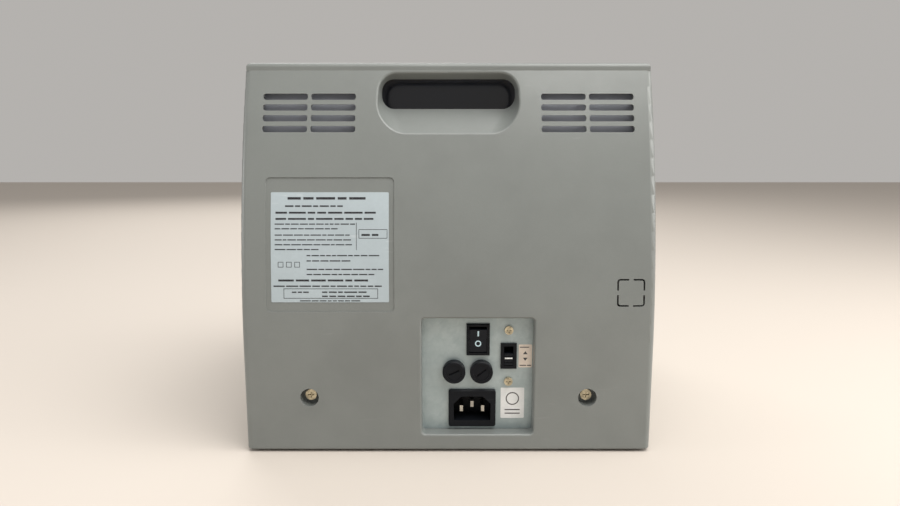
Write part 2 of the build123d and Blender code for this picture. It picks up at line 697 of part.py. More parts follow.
# ---- Front cover: stacker mouth, sloping key panel and two hollow hopper cheeks ----
front_points = [
    (split_y, foot_gap),
    (front_y, foot_gap),
    (front_y, front_low_z),
    panel_low,
    panel_high,
    (split_y, cover_top_z),
]
panel_run = (panel_high[0] - panel_low[0], panel_high[1] - panel_low[1])
panel_length = sqrt(panel_run[0] ** 2 + panel_run[1] ** 2)
panel_dir = (panel_run[0] / panel_length, panel_run[1] / panel_length)
key_plane = Plane(
    origin=(0, panel_low[0], panel_low[1]),
    x_dir=(1, 0, 0),
    z_dir=(0, -panel_dir[1], panel_dir[0]),
)
key_names = ("start", "clear", "batch", "mode")
key_places = [((index - 1.5) * key_pitch, key_along) for index in range(len(key_names))]
cheek_x = (hopper_half, hopper_half + wall)
with BuildPart() as front_cover:
    with BuildSketch(Plane.YZ):
        with BuildLine():
            Polyline(*front_points, close=True)
        make_face()
    extrude(amount=half_width, both=True)
    corner_edges = [
        edge for edge in front_cover.edges()
        if abs(abs(edge.center().X) - half_width) < 0.01
        and edge.center().Y < split_y - 1
        and edge.center().Z > foot_gap + 1
    ]
    fillet(corner_edges, side_fillet)
    with BuildSketch(Plane.YZ):
        with BuildLine():
            Polyline(*front_points, close=True)
        make_face()
        offset(amount=-wall, kind=Kind.INTERSECTION)
    extrude(amount=inner_half, both=True, mode=Mode.SUBTRACT)
    # The shell is open underneath and towards the rear cover.
    block((-inner_half, inner_half), (front_y + wall, split_y), (0, foot_gap + wall + 1),
          Mode.SUBTRACT)
    block((-inner_half, inner_half), (split_y - wall - 1, split_y + 1),
          (foot_gap, cover_top_z - wall), Mode.SUBTRACT)
    # The hopper's well is cut between the cheeks down to the slope of the hopper plate.
    well_front = on_hopper(-12, -hopper_thickness)
    well_rear = (split_y + 1, on_hopper((split_y + 1 - hopper_front_y) / slope_cos, 0)[1] - 2)
    with BuildSketch(Plane.YZ):
        with BuildLine():
            Polyline(
                well_front,
                well_rear,
                (split_y + 1, body_height + 5),
                (well_front[0], body_height + 5),
                close=True,
            )
        make_face()
    extrude(amount=hopper_half, both=True, mode=Mode.SUBTRACT)
    for side in (-1, 1):
        near, far = side * cheek_x[0], side * cheek_x[1]
        with BuildSketch(Plane.YZ.offset(min(near, far))):
            with BuildLine():
                Polyline(
                    on_hopper(-4, -4),
                    on_hopper((split_y - hopper_front_y) / slope_cos, -4),
                    (split_y, cover_top_z - wall / 2),
                    (panel_high[0] + wall, panel_high[1] - wall / 2),
                    close=True,
                )
            make_face()
        extrude(amount=wall)
    # The stacker's mouth, the display window and the key holes go through the front.
    block((-tray_half, tray_half), (front_y - 1, front_y + 30), (mouth_low_z, mouth_high_z),
          Mode.SUBTRACT)
    with BuildSketch(key_plane.offset(-wall - 1)):
        with Locations((0, window_along)):
            RectangleRounded(window_width - 4, window_height - 4, 2.0)
        with Locations(*key_places):
            RectangleRounded(key_size, key_size, 2.0)
    extrude(amount=wall + 2, mode=Mode.SUBTRACT)
    with BuildSketch(key_plane.offset(-1.2)):
        with Locations((0, window_along)):
            RectangleRounded(window_width, window_height, 3.0)
    extrude(amount=3, mode=Mode.SUBTRACT)
front_cover.part.label = "front_cover"
export_step(front_cover.part, "parts/front_cover.step")

with BuildPart() as display_window:
    with BuildSketch(key_plane.offset(-1.2)):
        with Locations((0, window_along)):
            RectangleRounded(window_width - fit_gap, window_height - fit_gap, 3.0)
    extrude(amount=1.2)
display_window.part.label = "display_window"
export_step(display_window.part, "parts/display_window.step")

for name, place in zip(key_names, key_places):
    with BuildPart() as key:
        with BuildSketch(key_plane.offset(-board_gap + key_travel + 0.4)):
            with Locations(place):
                Circle(2.2)
        extrude(amount=board_gap)
        with BuildSketch(key_plane.offset(-1.0)):
            with Locations(place):
                RectangleRounded(key_size - 2 * fit_gap, key_size - 2 * fit_gap, 1.7)
        extrude(amount=key_proud + 1.0)
        cap_top = key.faces().filter_by(lambda face: face.normal_at().dot(key_plane.z_dir) > 0.99)
        chamfer(cap_top.sort_by(Axis(key_plane.origin, key_plane.z_dir))[-1].edges(), 0.8)
    key.part.label = f"key_{name}"
    export_step(key.part, f"parts/key_{name}.step")

board_high = panel_length - 12.0
with BuildPart() as control_board:
    with BuildSketch(key_plane.offset(-board_gap - 1.6)):
        with Locations((0, board_high / 2 + 4)):
            Rectangle(2 * hopper_half - 20, board_high)
    extrude(amount=1.6)
    # Four posts and the display's block stand the board off the panel.
    with BuildSketch(key_plane.offset(-board_gap)):
        with Locations((0, board_high / 2 + 4)):
            with GridLocations(2 * hopper_half - 30, board_high - 10, 2, 2):
                Circle(3.0)
    extrude(amount=board_gap - wall)
    with BuildSketch(key_plane.offset(-board_gap)):
        with Locations((0, window_along)):
            Rectangle(window_width - 14, window_height - 8)
    extrude(amount=board_gap - wall - 1.0)
control_board.part.label = "control_board"
export_step(control_board.part, "parts/control_board.step")

# ---- Top cover: a shallow cap with a lid opening and a dished seat for the gap knob ----
cover_rear_y = rear_y - rear_setback(cover_top_z)
lid_y = (split_y + 2.0, split_y + 2.0 + lid_length)
hinge_at = (lid_y[1] - lid_pin_radius - 1.5, body_height - lid_thickness + 0.5)
knob_at = (hopper_half + (half_width - hopper_half) / 2, knob_y)
with BuildPart() as top_cover:
    cap_half = half_width - top_inset
    block((-cap_half, cap_half), (split_y, cover_rear_y), (cover_top_z, body_height))
    rim_edges = top_cover.edges().group_by(Axis.Z)[-1]
    fillet(rim_edges, 3.0)
    # The space for the lid is open to the front.
    opening_half = lid_half + lid_pin_radius + 1.0
    block((-opening_half, opening_half), (split_y - 1, lid_y[1] + 3.0),
          (cover_top_z - 1, body_height + 1), Mode.SUBTRACT)
    # Hinge ears reach in to carry the lid's pins.
    for side in (-1, 1):
        ear_inner = side * (lid_half + fit_gap)
        ear_outer = side * (opening_half + 1)
        ear_x = (min(ear_inner, ear_outer), max(ear_inner, ear_outer))
        block(ear_x, (hinge_at[0] - 4, lid_y[1] + 4), (cover_top_z - 4, body_height - 0.5))
        rod(ear_x, hinge_at, lid_pin_radius + running_clearance, Mode.SUBTRACT)
    with Locations((knob_at[0], knob_at[1], body_height)):
        Cylinder(knob_radius + 1.0, 3.0, align=(Align.CENTER, Align.CENTER, Align.MAX),
                 mode=Mode.SUBTRACT)
        Cylinder(3.2, 2 * top_band + 2, mode=Mode.SUBTRACT)
top_cover.part.label = "top_cover"
export_step(top_cover.part, "parts/top_cover.step")

lid_wall_y = lid_y[0]
with BuildPart() as access_lid:
    block((-lid_half, lid_half), lid_y, (body_height - lid_thickness, body_height))
    rear_top = access_lid.edges().filter_by(Axis.X).sort_by(Axis.Y)[-2:]
    fillet(rear_top, 1.2)
    block((-lid_half, lid_half), (lid_wall_y, lid_wall_y + wall),
          (body_height - lid_front_drop, body_height - lid_thickness / 2))
    front_top = access_lid.edges().filter_by(Axis.X).group_by(Axis.Z)[-1].sort_by(Axis.Y)[0]
    fillet(front_top, 1.5)
    rod((-lid_half - lid_pin_radius - 0.5, lid_half + lid_pin_radius + 0.5), hinge_at,
        lid_pin_radius)
access_lid.part.label = "access_lid"
export_step(access_lid.part, "parts/access_lid.step")

with BuildPart() as gap_knob:
    with BuildSketch(Plane.XY.offset(body_height - 2.6)):
        with Locations(knob_at):
            Circle(knob_radius)
            with PolarLocations(knob_radius + 0.6, 18):
                Circle(1.2, mode=Mode.SUBTRACT)
    extrude(amount=2.6)
    with BuildSketch(Plane.XY.offset(body_height - 22)):
        with Locations(knob_at):
            Circle(3.0)
    extrude(amount=20)
gap_knob.part.label = "gap_knob"
export_step(gap_knob.part, "parts/gap_knob.step")

# ---- Hopper: a sloping plate with two guides that a rack and pinion keep centred ----
slot_margin = 2.0
pickup_slot = sqrt(pickup_radius**2 - (pickup_radius - pickup_proud - hopper_thickness) ** 2)
feed_slot = sqrt(feed_radius**2 - (feed_radius - feed_proud - hopper_thickness) ** 2)
hopper_end = feed_along + 3.0
pinion_pitch_radius = gear_module * pinion_teeth / 2
rack_bar = 5.0
tooth_height = 0.9 * gear_module
tooth_depth = 1.2 * gear_module
rack_centre = pinion_pitch_radius + tooth_depth - 0.1 + rack_bar / 2
rack_above = (-rack_drop - 4.0, -rack_drop)
stud_radius = 2.5
slot_half = guide_travel / 2 + 3.0
slot_middle = guide_rest_x - guide_travel / 2
with BuildPart(hopper_plane) as hopper_plate:
    block((-hopper_half, hopper_half), (-4.0, hopper_end), (-hopper_thickness, 0))
    # Slots for the rollers below and for the guides' stems.
    for side in (-1, 1):
        pickup_x = side * roller_x
        near = pickup_x - roller_width / 2 - slot_margin
        far = pickup_x + roller_width / 2 + slot_margin
        pickup_s = (pickup_along - pickup_slot - slot_margin, pickup_along + pickup_slot + slot_margin)
        block((near, far), pickup_s, (-5, 5), Mode.SUBTRACT)
        block((near, far), (feed_along - feed_slot - slot_margin, hopper_end + 1), (-5, 5),
              Mode.SUBTRACT)
        guide_s = guide_along - side * rack_centre
        block((side * slot_middle - slot_half, side * slot_middle + slot_half),
              (guide_s - 2.4, guide_s + 2.4), (-5, 5), Mode.SUBTRACT)
    with Locations((0, guide_along, rack_above[0] - 1.0)):
        Cylinder(stud_radius, rack_drop + 5.0,
                 align=(Align.CENTER, Align.CENTER, Align.MIN))
hopper_plate.part.label = "hopper_plate"
export_step(hopper_plate.part, "parts/hopper_plate.step")


def tooth(pitch_half, height, depth):
    """Give one straight-sided tooth's half outline as (across, out) pairs from root to tip."""
    return [
        (-pitch_half - 0.32 * depth, -depth),
        (-pitch_half + 0.36 * height, height),
        (pitch_half - 0.36 * height, height),
        (pitch_half + 0.32 * depth, -depth),
    ]


tooth_half = 0.2 * gear_module * tau / 2
tooth_points = tooth(tooth_half, tooth_height, tooth_depth)


def gear_face(teeth, first_angle):
    """Give a spur gear's outline, with one tooth centred on first_angle in radians."""
    pitch_radius = gear_module * teeth / 2
    points = []
    for index in range(teeth):
        middle = first_angle + tau * index / teeth
        for across, out in tooth_points:
            radius = pitch_radius + out
            angle = middle + across / radius
            points.append((radius * cos(angle), radius * sin(angle)))
    with BuildSketch() as outline:
        with BuildLine():
            Polyline(*points, close=True)
        make_face()
    return outline.sketch


pinion_plane = Plane(
    origin=hopper_plane.from_local_coords((0, guide_along, rack_above[0])),
    x_dir=hopper_plane.x_dir,
    z_dir=hopper_plane.z_dir,
)
with BuildPart(pinion_plane) as guide_pinion:
    add(extrude(gear_face(pinion_teeth, 0), amount=rack_above[1] - rack_above[0],
                mode=Mode.PRIVATE))
    Cylinder(stud_radius + running_clearance, 20, mode=Mode.SUBTRACT)
guide_pinion.part.label = "guide_pinion"
export_step(guide_pinion.part, "parts/guide_pinion.step")

rack_pitch = gear_module * tau / 2
rack_tooth_count = int(guide_travel / rack_pitch) + 8
for name, side in (("left", 1), ("right", -1)):
    guide_s = guide_along - side * rack_centre
    rack_s = (guide_s - rack_bar / 2, guide_s + rack_bar / 2)
    tooth_line = guide_along - side * pinion_pitch_radius
    plate_x = (side * guide_rest_x - 1.25, side * guide_rest_x + 1.25)
    rack_end = -side * 12.0
    rack_x = (min(rack_end, plate_x[0]), max(rack_end, plate_x[1]))
    with BuildPart(hopper_plane) as guide:
        block(plate_x, (0, feed_along - 18), (fit_gap, guide_height))
        shoe_x = (side * (guide_rest_x - 5) - 6, side * (guide_rest_x - 5) + 6)
        block(shoe_x, (guide_s - 8, guide_s + 8), (fit_gap, fit_gap + 2))
        block((side * guide_rest_x - 2, side * guide_rest_x + 2), (guide_s - 2, guide_s + 2),
              (-rack_drop, 1))
        block(rack_x, rack_s, rack_above)
        with BuildSketch(hopper_plane.offset(rack_above[0])):
            for index in range(rack_tooth_count):
                tooth_x = side * (index - 3.5) * rack_pitch
                with BuildLine():
                    Polyline(
                        *[(tooth_x + across, tooth_line + side * out)
                          for across, out in tooth_points],
                        close=True,
                    )
                make_face()
        extrude(amount=rack_above[1] - rack_above[0])
    guide.part.label = f"hopper_guide_{name}"
    export_step(guide.part, f"parts/hopper_guide_{name}.step")

# ---- Chassis: two steel side plates, tie rods and the bearings they carry ----
retard_pivot = (feed_at[0] + 38.0, feed_at[1] + 45.0)
rod_radius = 4.0
rod_places = [retard_pivot, (panel_back - 32.0, 110.0), on_hopper(35.0, -40.0)]
plate_rear = panel_back - 24.0
plate_points = [
    (-60.0, base_top),
    (plate_rear, base_top),
    (plate_rear, 140.0),
    (retard_pivot[0] + 8.0, retard_pivot[1] + 14.0),
    (split_y - 2.0, cover_top_z - 12.0),
    (hopper_front_y + 4.0, hopper_front_z - 5.0),
    (-60.0, 150.0),
]
main_shafts = [pickup_at, feed_at, transport_at, stacker_at]
bearing_radius = shaft_radius + bearing_wall
pinch_bearing_radius = pinch_shaft_radius + bearing_wall
plates_x = [(-plate_outer, -plate_inner), (plate_inner, plate_outer)]
with BuildPart() as side_plates:
    for plate_x in plates_x:
        with BuildSketch(Plane.YZ.offset(plate_x[0])):
            with BuildLine():
                Polyline(*plate_points, close=True)
            make_face()
            with Locations(*main_shafts):
                Circle(bearing_radius, mode=Mode.SUBTRACT)
            with Locations(pinch_at):
                Circle(pinch_bearing_radius, mode=Mode.SUBTRACT)
            with Locations(*rod_places):
                Circle(rod_radius - 1.0, mode=Mode.SUBTRACT)
            with Locations(motor_at):
                Circle(5.0, mode=Mode.SUBTRACT)
        extrude(amount=plate_thickness)
    # A folded foot on each plate stands on the base.
    for side in (-1, 1):
        foot_edge = side * (plate_inner - 14.0)
        flange_x = (min(foot_edge, side * plate_inner), max(foot_edge, side * plate_inner))
        block(flange_x, (-56.0, -36.0), (base_top, base_top + plate_thickness))
        block(flange_x, (12.0, 28.0), (base_top, base_top + plate_thickness))
side_plates.part.label = "side_plates"
export_step(side_plates.part, "parts/side_plates.step")

with BuildPart() as tie_rods:
    for place in rod_places:
        rod((-plate_inner, plate_inner), place, rod_radius)
        rod((-plate_outer, plate_outer), place, rod_radius - 1.0)
tie_rods.part.label = "tie_rods"
export_step(tie_rods.part, "parts/tie_rods.step")

with BuildPart() as bearings:
    for side in (-1, 1):
        centre_x = side * (plate_inner + plate_outer) / 2
        bearing_x = (centre_x - bearing_length / 2, centre_x + bearing_length / 2)
        for place in main_shafts:
            rod(bearing_x, place, bearing_radius)
            rod(bearing_x, place, shaft_radius + running_clearance, Mode.SUBTRACT)
        rod(bearing_x, pinch_at, pinch_bearing_radius)
        rod(bearing_x, pinch_at, pinch_shaft_radius + running_clearance, Mode.SUBTRACT)
bearings.part.label = "bearings"
export_step(bearings.part, "parts/bearings.step")


def roller_pair(at, radius, bore, grooves):
    """Add two rubber rollers with shallow grooves round them, on one shaft."""
    for side in (-1, 1):
        span = (side * roller_x - roller_width / 2, side * roller_x + roller_width / 2)
        rod(span, at, radius)
        groove_pitch = roller_width / (grooves + 1)
        for groove in range(grooves):
            groove_x = span[0] + (groove + 1) * groove_pitch
            groove_span = (groove_x - 0.6, groove_x + 0.6)
            rod(groove_span, at, radius + 1, Mode.SUBTRACT)
            rod(groove_span, at, radius - 0.8)
        rod(span, at, bore, Mode.SUBTRACT)


def toothed_disc(span, at, teeth, first_angle):
    """Add a spur gear across X between two x values."""
    gear_plane = Plane(origin=(span[0], at[0], at[1]), x_dir=(0, 1, 0), z_dir=(1, 0, 0))
    outline = gear_face(teeth, first_angle)
    add(extrude(gear_plane * outline, amount=span[1] - span[0], mode=Mode.PRIVATE))
    rod(span, at, shaft_radius, Mode.SUBTRACT)


def pulley(middle_x, at, radius, bore):
    """Add a flanged belt pulley centred on middle_x."""
    span = (middle_x - pulley_width / 2, middle_x + pulley_width / 2)
    rod(span, at, radius)
    rod((span[0], span[0] + 0.8), at, radius + 2)
    rod((span[1] - 0.8, span[1]), at, radius + 2)
    rod((span[0] - 1, span[1] + 1), at, bore, Mode.SUBTRACT)


# ---- Pick-up shaft: grooved rollers that pull the lowest note off the pile ----
pickup_pulley_radius = 9.0
feed_pulley_radius = 9.0
drive_side = -feed_pulley_x
shaft_far = feed_pulley_x + pulley_width / 2 + 2
with BuildPart() as pickup_shaft:
    rod((-shaft_far, plate_outer + 4), pickup_at, shaft_radius)
pickup_shaft.part.label = "pickup_shaft"
export_step(pickup_shaft.part, "parts/pickup_shaft.step")

with BuildPart() as pickup_rollers:
    roller_pair(pickup_at, pickup_radius, shaft_radius, 2)
pickup_rollers.part.label = "pickup_rollers"
export_step(pickup_rollers.part, "parts/pickup_rollers.step")

with BuildPart() as pickup_pulley:
    pulley(drive_side, pickup_at, pickup_pulley_radius, shaft_radius)
pickup_pulley.part.label = "pickup_pulley"
export_step(pickup_pulley.part, "parts/pickup_pulley.step")

# ---- Feed shaft: the large rollers that turn each note down behind the hopper ----
gear_far = gear_x + gear_width / 2
with BuildPart() as feed_shaft:
    rod((-shaft_far, gear_far + 2), feed_at, shaft_radius)
feed_shaft.part.label = "feed_shaft"
export_step(feed_shaft.part, "parts/feed_shaft.step")

with BuildPart() as feed_rollers:
    roller_pair(feed_at, feed_radius, shaft_radius, 3)
feed_rollers.part.label = "feed_rollers"
export_step(feed_rollers.part, "parts/feed_rollers.step")

with BuildPart() as feed_pulley:
    pulley(drive_side, feed_at, feed_pulley_radius, shaft_radius)
feed_pulley.part.label = "feed_pulley"
export_step(feed_pulley.part, "parts/feed_pulley.step")

# A feed-gear tooth points at the transport gear, which meets it with a gap.
towards_transport = acos((transport_at[0] - feed_at[0]) / gear_centres)
mesh_angle = -towards_transport
gear_span = (gear_x - gear_width / 2, gear_far)
with BuildPart() as feed_gear:
    toothed_disc(gear_span, feed_at, feed_gear_teeth, mesh_angle)
feed_gear.part.label = "feed_gear"
export_step(feed_gear.part, "parts/feed_gear.step")

transport_gap_angle = mesh_angle + tau / 2 + tau / transport_gear_teeth / 2
with BuildPart() as transport_gear:
    toothed_disc(gear_span, transport_at, transport_gear_teeth, transport_gap_angle)
transport_gear.part.label = "transport_gear"
export_step(transport_gear.part, "parts/transport_gear.step")

# ---- Transport shaft and its pinch rollers ----
transport_pulley_radius = 14.0
stacker_pulley_radius = 20.0
motor_pulley_radius = 9.0
with BuildPart() as transport_shaft:
    rod((-plate_outer - 4, gear_far + 2), transport_at, shaft_radius)
transport_shaft.part.label = "transport_shaft"
export_step(transport_shaft.part, "parts/transport_shaft.step")

with BuildPart() as transport_rollers:
    roller_pair(transport_at, transport_radius, shaft_radius, 1)
transport_rollers.part.label = "transport_rollers"
export_step(transport_rollers.part, "parts/transport_rollers.step")

with BuildPart() as transport_pulley:
    pulley(belt_x, transport_at, transport_pulley_radius, shaft_radius)
transport_pulley.part.label = "transport_pulley"
export_step(transport_pulley.part, "parts/transport_pulley.step")

with BuildPart() as pinch_rollers:
    rod((-plate_outer - 3, plate_outer + 3), pinch_at, pinch_shaft_radius)
    for side in (-1, 1):
        span = (side * roller_x - roller_width / 2, side * roller_x + roller_width / 2)
        rod(span, pinch_at, pinch_radius)
pinch_rollers.part.label = "pinch_rollers"
export_step(pinch_rollers.part, "parts/pinch_rollers.step")

# ---- Stacker: two wheels of springy curved fingers that lay each note in the tray ----
stacker_hub = 11.0
finger_count = 9
finger_sweep = 34.0
finger_root = 8.0
finger_tip = 3.0
with BuildPart() as stacker_shaft:
    rod((-plate_outer - 4, belt_x + pulley_width / 2 + 2), stacker_at, shaft_radius)
stacker_shaft.part.label = "stacker_shaft"
export_step(stacker_shaft.part, "parts/stacker_shaft.step")


def polar(radius, angle):
    """Give the point at a radius and an angle in degrees."""
    return (radius * cos(radians(angle)), radius * sin(radians(angle)))


with BuildPart() as stacker_wheels:
    for side in (-1, 1):
        wheel_x = side * stacker_wheel_x - stacker_wheel_width / 2
        wheel_plane = Plane(
            origin=(wheel_x, stacker_at[0], stacker_at[1]), x_dir=(0, 1, 0), z_dir=(1, 0, 0)
        )
        with BuildSketch(wheel_plane):
            Circle(stacker_hub)
            middle_radius = (stacker_hub + stacker_radius) / 2
            for finger in range(finger_count):
                start = 360 * finger / finger_count
                lead = [
                    polar(stacker_hub - 1, start),
                    polar(middle_radius, start - finger_sweep * 0.35),
                    polar(stacker_radius, start - finger_sweep),
                ]
                trail = [
                    polar(stacker_radius, start - finger_sweep + finger_tip),
                    polar(middle_radius, start - finger_sweep * 0.35 + finger_root * 0.6),
                    polar(stacker_hub - 1, start + finger_root * 1.6),
                ]
                with BuildLine():
                    ThreePointArc(*lead)
                    Line(lead[2], trail[0])
                    ThreePointArc(*trail)
                    Line(trail[2], lead[0])
                make_face()
            Circle(shaft_radius, mode=Mode.SUBTRACT)
        extrude(amount=stacker_wheel_width)
stacker_wheels.part.label = "stacker_wheels"
export_step(stacker_wheels.part, "parts/stacker_wheels.step")

with BuildPart() as stacker_pulley:
    pulley(belt_x, stacker_at, stacker_pulley_radius, shaft_radius)
stacker_pulley.part.label = "stacker_pulley"
export_step(stacker_pulley.part, "parts/stacker_pulley.step")

# ---- Retard unit: braked rollers on a bracket that the gap knob swings by a few degrees ----
arm_x = roller_x + roller_width / 2 + 3.0
arm_thickness = 3.0
arm_run = (retard_pivot[0] - retard_at[0], retard_pivot[1] - retard_at[1])
arm_length = sqrt(arm_run[0] ** 2 + arm_run[1] ** 2)
arm_angle = degrees(acos(arm_run[0] / arm_length))
arm_middle = ((retard_pivot[0] + retard_at[0]) / 2, (retard_pivot[1] + retard_at[1]) / 2)
web_reach = retard_radius + 3.0
with BuildPart() as retard_bracket:
    for side in (-1, 1):
        arm_near = side * arm_x - arm_thickness / 2
        with BuildSketch(Plane.YZ.offset(arm_near)):
            with Locations(Location((arm_middle[0], arm_middle[1], 0), (0, 0, arm_angle))):
                SlotCenterToCenter(arm_length, 12.0)
        extrude(amount=arm_thickness)
    # A cross web joins the arms between the rollers and the pivot rod.
    web_plane = Plane(
        origin=(0, retard_at[0], retard_at[1]),
        x_dir=(0, arm_run[0] / arm_length, arm_run[1] / arm_length),
        z_dir=(1, 0, 0),
    )
    with BuildSketch(web_plane.offset(-arm_x)):
        with Locations(((web_reach + arm_length - rod_radius - 2.0) / 2, 0)):
            Rectangle(arm_length - rod_radius - 2.0 - web_reach, 5.0)
    extrude(amount=2 * arm_x)
    rod((-arm_x - 5, arm_x + 5), retard_pivot, rod_radius + running_clearance, Mode.SUBTRACT)
    rod((-arm_x - 5, arm_x + 5), retard_at, pinch_shaft_radius, Mode.SUBTRACT)
retard_bracket.part.label = "retard_bracket"
export_step(retard_bracket.part, "parts/retard_bracket.step")

with BuildPart() as retard_rollers:
    rod((-arm_x - 3, arm_x + 3), retard_at, pinch_shaft_radius)
    for side in (-1, 1):
        span = (side * roller_x - roller_width / 2, side * roller_x + roller_width / 2)
        rod(span, retard_at, retard_radius)
retard_rollers.part.label = "retard_rollers"
export_step(retard_rollers.part, "parts/retard_rollers.step")

# ---- Note guide: a bent steel sheet round the back of the feed rollers ----
guide_gap = 2.5
sheet = 1.2
guide_start = -90.0
guide_end = 18.0
guide_inner = feed_radius + guide_gap
guide_floor_y = transport_at[0] + transport_radius + 2.0


def around_feed(radius, angle):
    """Give the (y, z) of a point at a radius and an angle round the feed shaft."""
    along, up = polar(radius, angle)
    return (feed_at[0] + along, feed_at[1] + up)


guide_middle = (guide_start + guide_end) / 2
floor_z = feed_at[1] - guide_inner
with BuildPart() as note_guide:
    with BuildSketch(Plane.YZ):
        with BuildLine():
            ThreePointArc(
                around_feed(guide_inner, guide_start),
                around_feed(guide_inner, guide_middle),
                around_feed(guide_inner, guide_end),
            )
            Line(around_feed(guide_inner, guide_end), around_feed(guide_inner + sheet, guide_end))
            ThreePointArc(
                around_feed(guide_inner + sheet, guide_end),
                around_feed(guide_inner + sheet, guide_middle),
                around_feed(guide_inner + sheet, guide_start),
            )
            Line((feed_at[0], floor_z - sheet), (guide_floor_y, floor_z - sheet))
            Line((guide_floor_y, floor_z - sheet), (guide_floor_y, floor_z))
            Line((guide_floor_y, floor_z), (feed_at[0], floor_z))
        make_face()
    extrude(amount=plate_inner, both=True)
note_guide.part.label = "note_guide"
export_step(note_guide.part, "parts/note_guide.step")

# ---- Stacker tray: sloping floor, slotted back wall and two side walls ----
tray_wall = 2.0
tray_front = (front_y + wall + 1.0, mouth_low_z - 1.0)
tray_corner = (stacker_y - 18.0, mouth_low_z - 9.0)
tray_top = (stacker_y - 5.0, mouth_high_z - 3.0)
tray_front_top = (panel_low[0] + wall + 2.0, mouth_high_z - 3.0)
wheel_slot = stacker_wheel_width / 2 + 2.5
with BuildPart() as stacker_tray:
    with BuildSketch(Plane.YZ):
        with BuildLine():
            Polyline(tray_front, tray_corner, tray_top)
            offset(amount=tray_wall, side=Side.RIGHT)
        make_face()
    extrude(amount=tray_half, both=True)
    for side in (-1, 1):
        wheel_x = side * stacker_wheel_x
        block((wheel_x - wheel_slot, wheel_x + wheel_slot), (stacker_y - 40, stacker_y + 10),
              (stacker_z - stacker_radius - 10, mouth_high_z + 5), Mode.SUBTRACT)
        edge_x = side * tray_half if side < 0 else tray_half - 1.5
        with BuildSketch(Plane.YZ.offset(edge_x)):
            with BuildLine():
                Polyline(tray_front, tray_corner, tray_top, tray_front_top, close=True)
            make_face()
        extrude(amount=1.5)
        # A leg under the floor stands on the base.
        leg_x = side * (tray_half - 12.0)
        leg_y = (tray_front[0] + 14.0, tray_corner[0] - 14.0)
        block((leg_x - 1.5, leg_x + 1.5), leg_y, (base_top, tray_corner[1] + 0.5))
stacker_tray.part.label = "stacker_tray"
export_step(stacker_tray.part, "parts/stacker_tray.step")

# ---- Drive: a motor on the side plate, its pulley and two belts ----
motor_shaft_radius = 3.0
with BuildPart() as drive_motor:
    rod((plate_inner - motor_length, plate_inner), motor_at, motor_radius)
    fillet(drive_motor.edges().filter_by(GeomType.CIRCLE), 2.0)
    rod((plate_inner - 1, plate_inner + 3.0), motor_at, 4.5)
    rod((plate_inner - motor_length - 1, plate_inner + 5), motor_at,
        motor_shaft_radius + running_clearance, Mode.SUBTRACT)
drive_motor.part.label = "drive_motor"
export_step(drive_motor.part, "parts/drive_motor.step")

with BuildPart() as motor_pulley:
    pulley(belt_x, motor_at, motor_pulley_radius, motor_shaft_radius - 1)
    rod((plate_inner - motor_length + 2, belt_x + pulley_width / 2 + 1), motor_at,
        motor_shaft_radius)
motor_pulley.part.label = "motor_pulley"
export_step(motor_pulley.part, "parts/motor_pulley.step")


def belt_ring(middle_x, turns):
    """Add an endless flat belt round pulleys given as ((y, z), radius) pairs."""
    for grow, mode in ((running_gap + belt_thickness, Mode.ADD), (running_gap, Mode.SUBTRACT)):
        with BuildSketch(Plane.YZ.offset(middle_x - belt_width / 2)) as ring:
            for at, radius in turns:
                with Locations(at):
                    Circle(radius + grow)
            make_hull()
        extrude(ring.sketch, amount=belt_width, mode=mode)


running_gap = 0.3
main_turns = [
    (motor_at, motor_pulley_radius),
    (transport_at, transport_pulley_radius),
    (stacker_at, stacker_pulley_radius),
]
pickup_turns = [(feed_at, feed_pulley_radius), (pickup_at, pickup_pulley_radius)]
with BuildPart() as drive_belts:
    belt_ring(belt_x, main_turns)
    belt_ring(drive_side, pickup_turns)
drive_belts.part.label = "drive_belts"
export_step(drive_belts.part, "parts/drive_belts.step")

# ---- Transformer: a laminated core round a wound bobbin, on the base ----
core_x = (plate_inner - 68.0, plate_inner - 16.0)
core_y = (plate_rear - 46.0, plate_rear - 12.0)
core_height = 50.0
with BuildPart() as transformer:
    core_z = (base_top, base_top + core_height)
    block(core_x, core_y, core_z)
    coil_x = (core_x[0] + 10.0, core_x[1] - 10.0)
    coil_z = (core_z[0] + 9.0, core_z[1] - 9.0)
    block(coil_x, (core_y[0] - 9.0, core_y[1] + 9.0), coil_z)
    fillet(transformer.edges().filter_by(Axis.Z).group_by(Axis.Y)[0], 4.0)
    fillet(transformer.edges().filter_by(Axis.Z).group_by(Axis.Y)[-1], 4.0)
    block((core_x[0] - 8.0, core_x[1] + 8.0), (core_y[0] + 8, core_y[1] - 8),
          (base_top, base_top + 2.0))
transformer.part.label = "transformer"
export_step(transformer.part, "parts/transformer.step")
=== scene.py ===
import bpy
import bmesh
import random
from math import cos, pi, radians, sin
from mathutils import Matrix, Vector
from mathutils.bvhtree import BVHTree


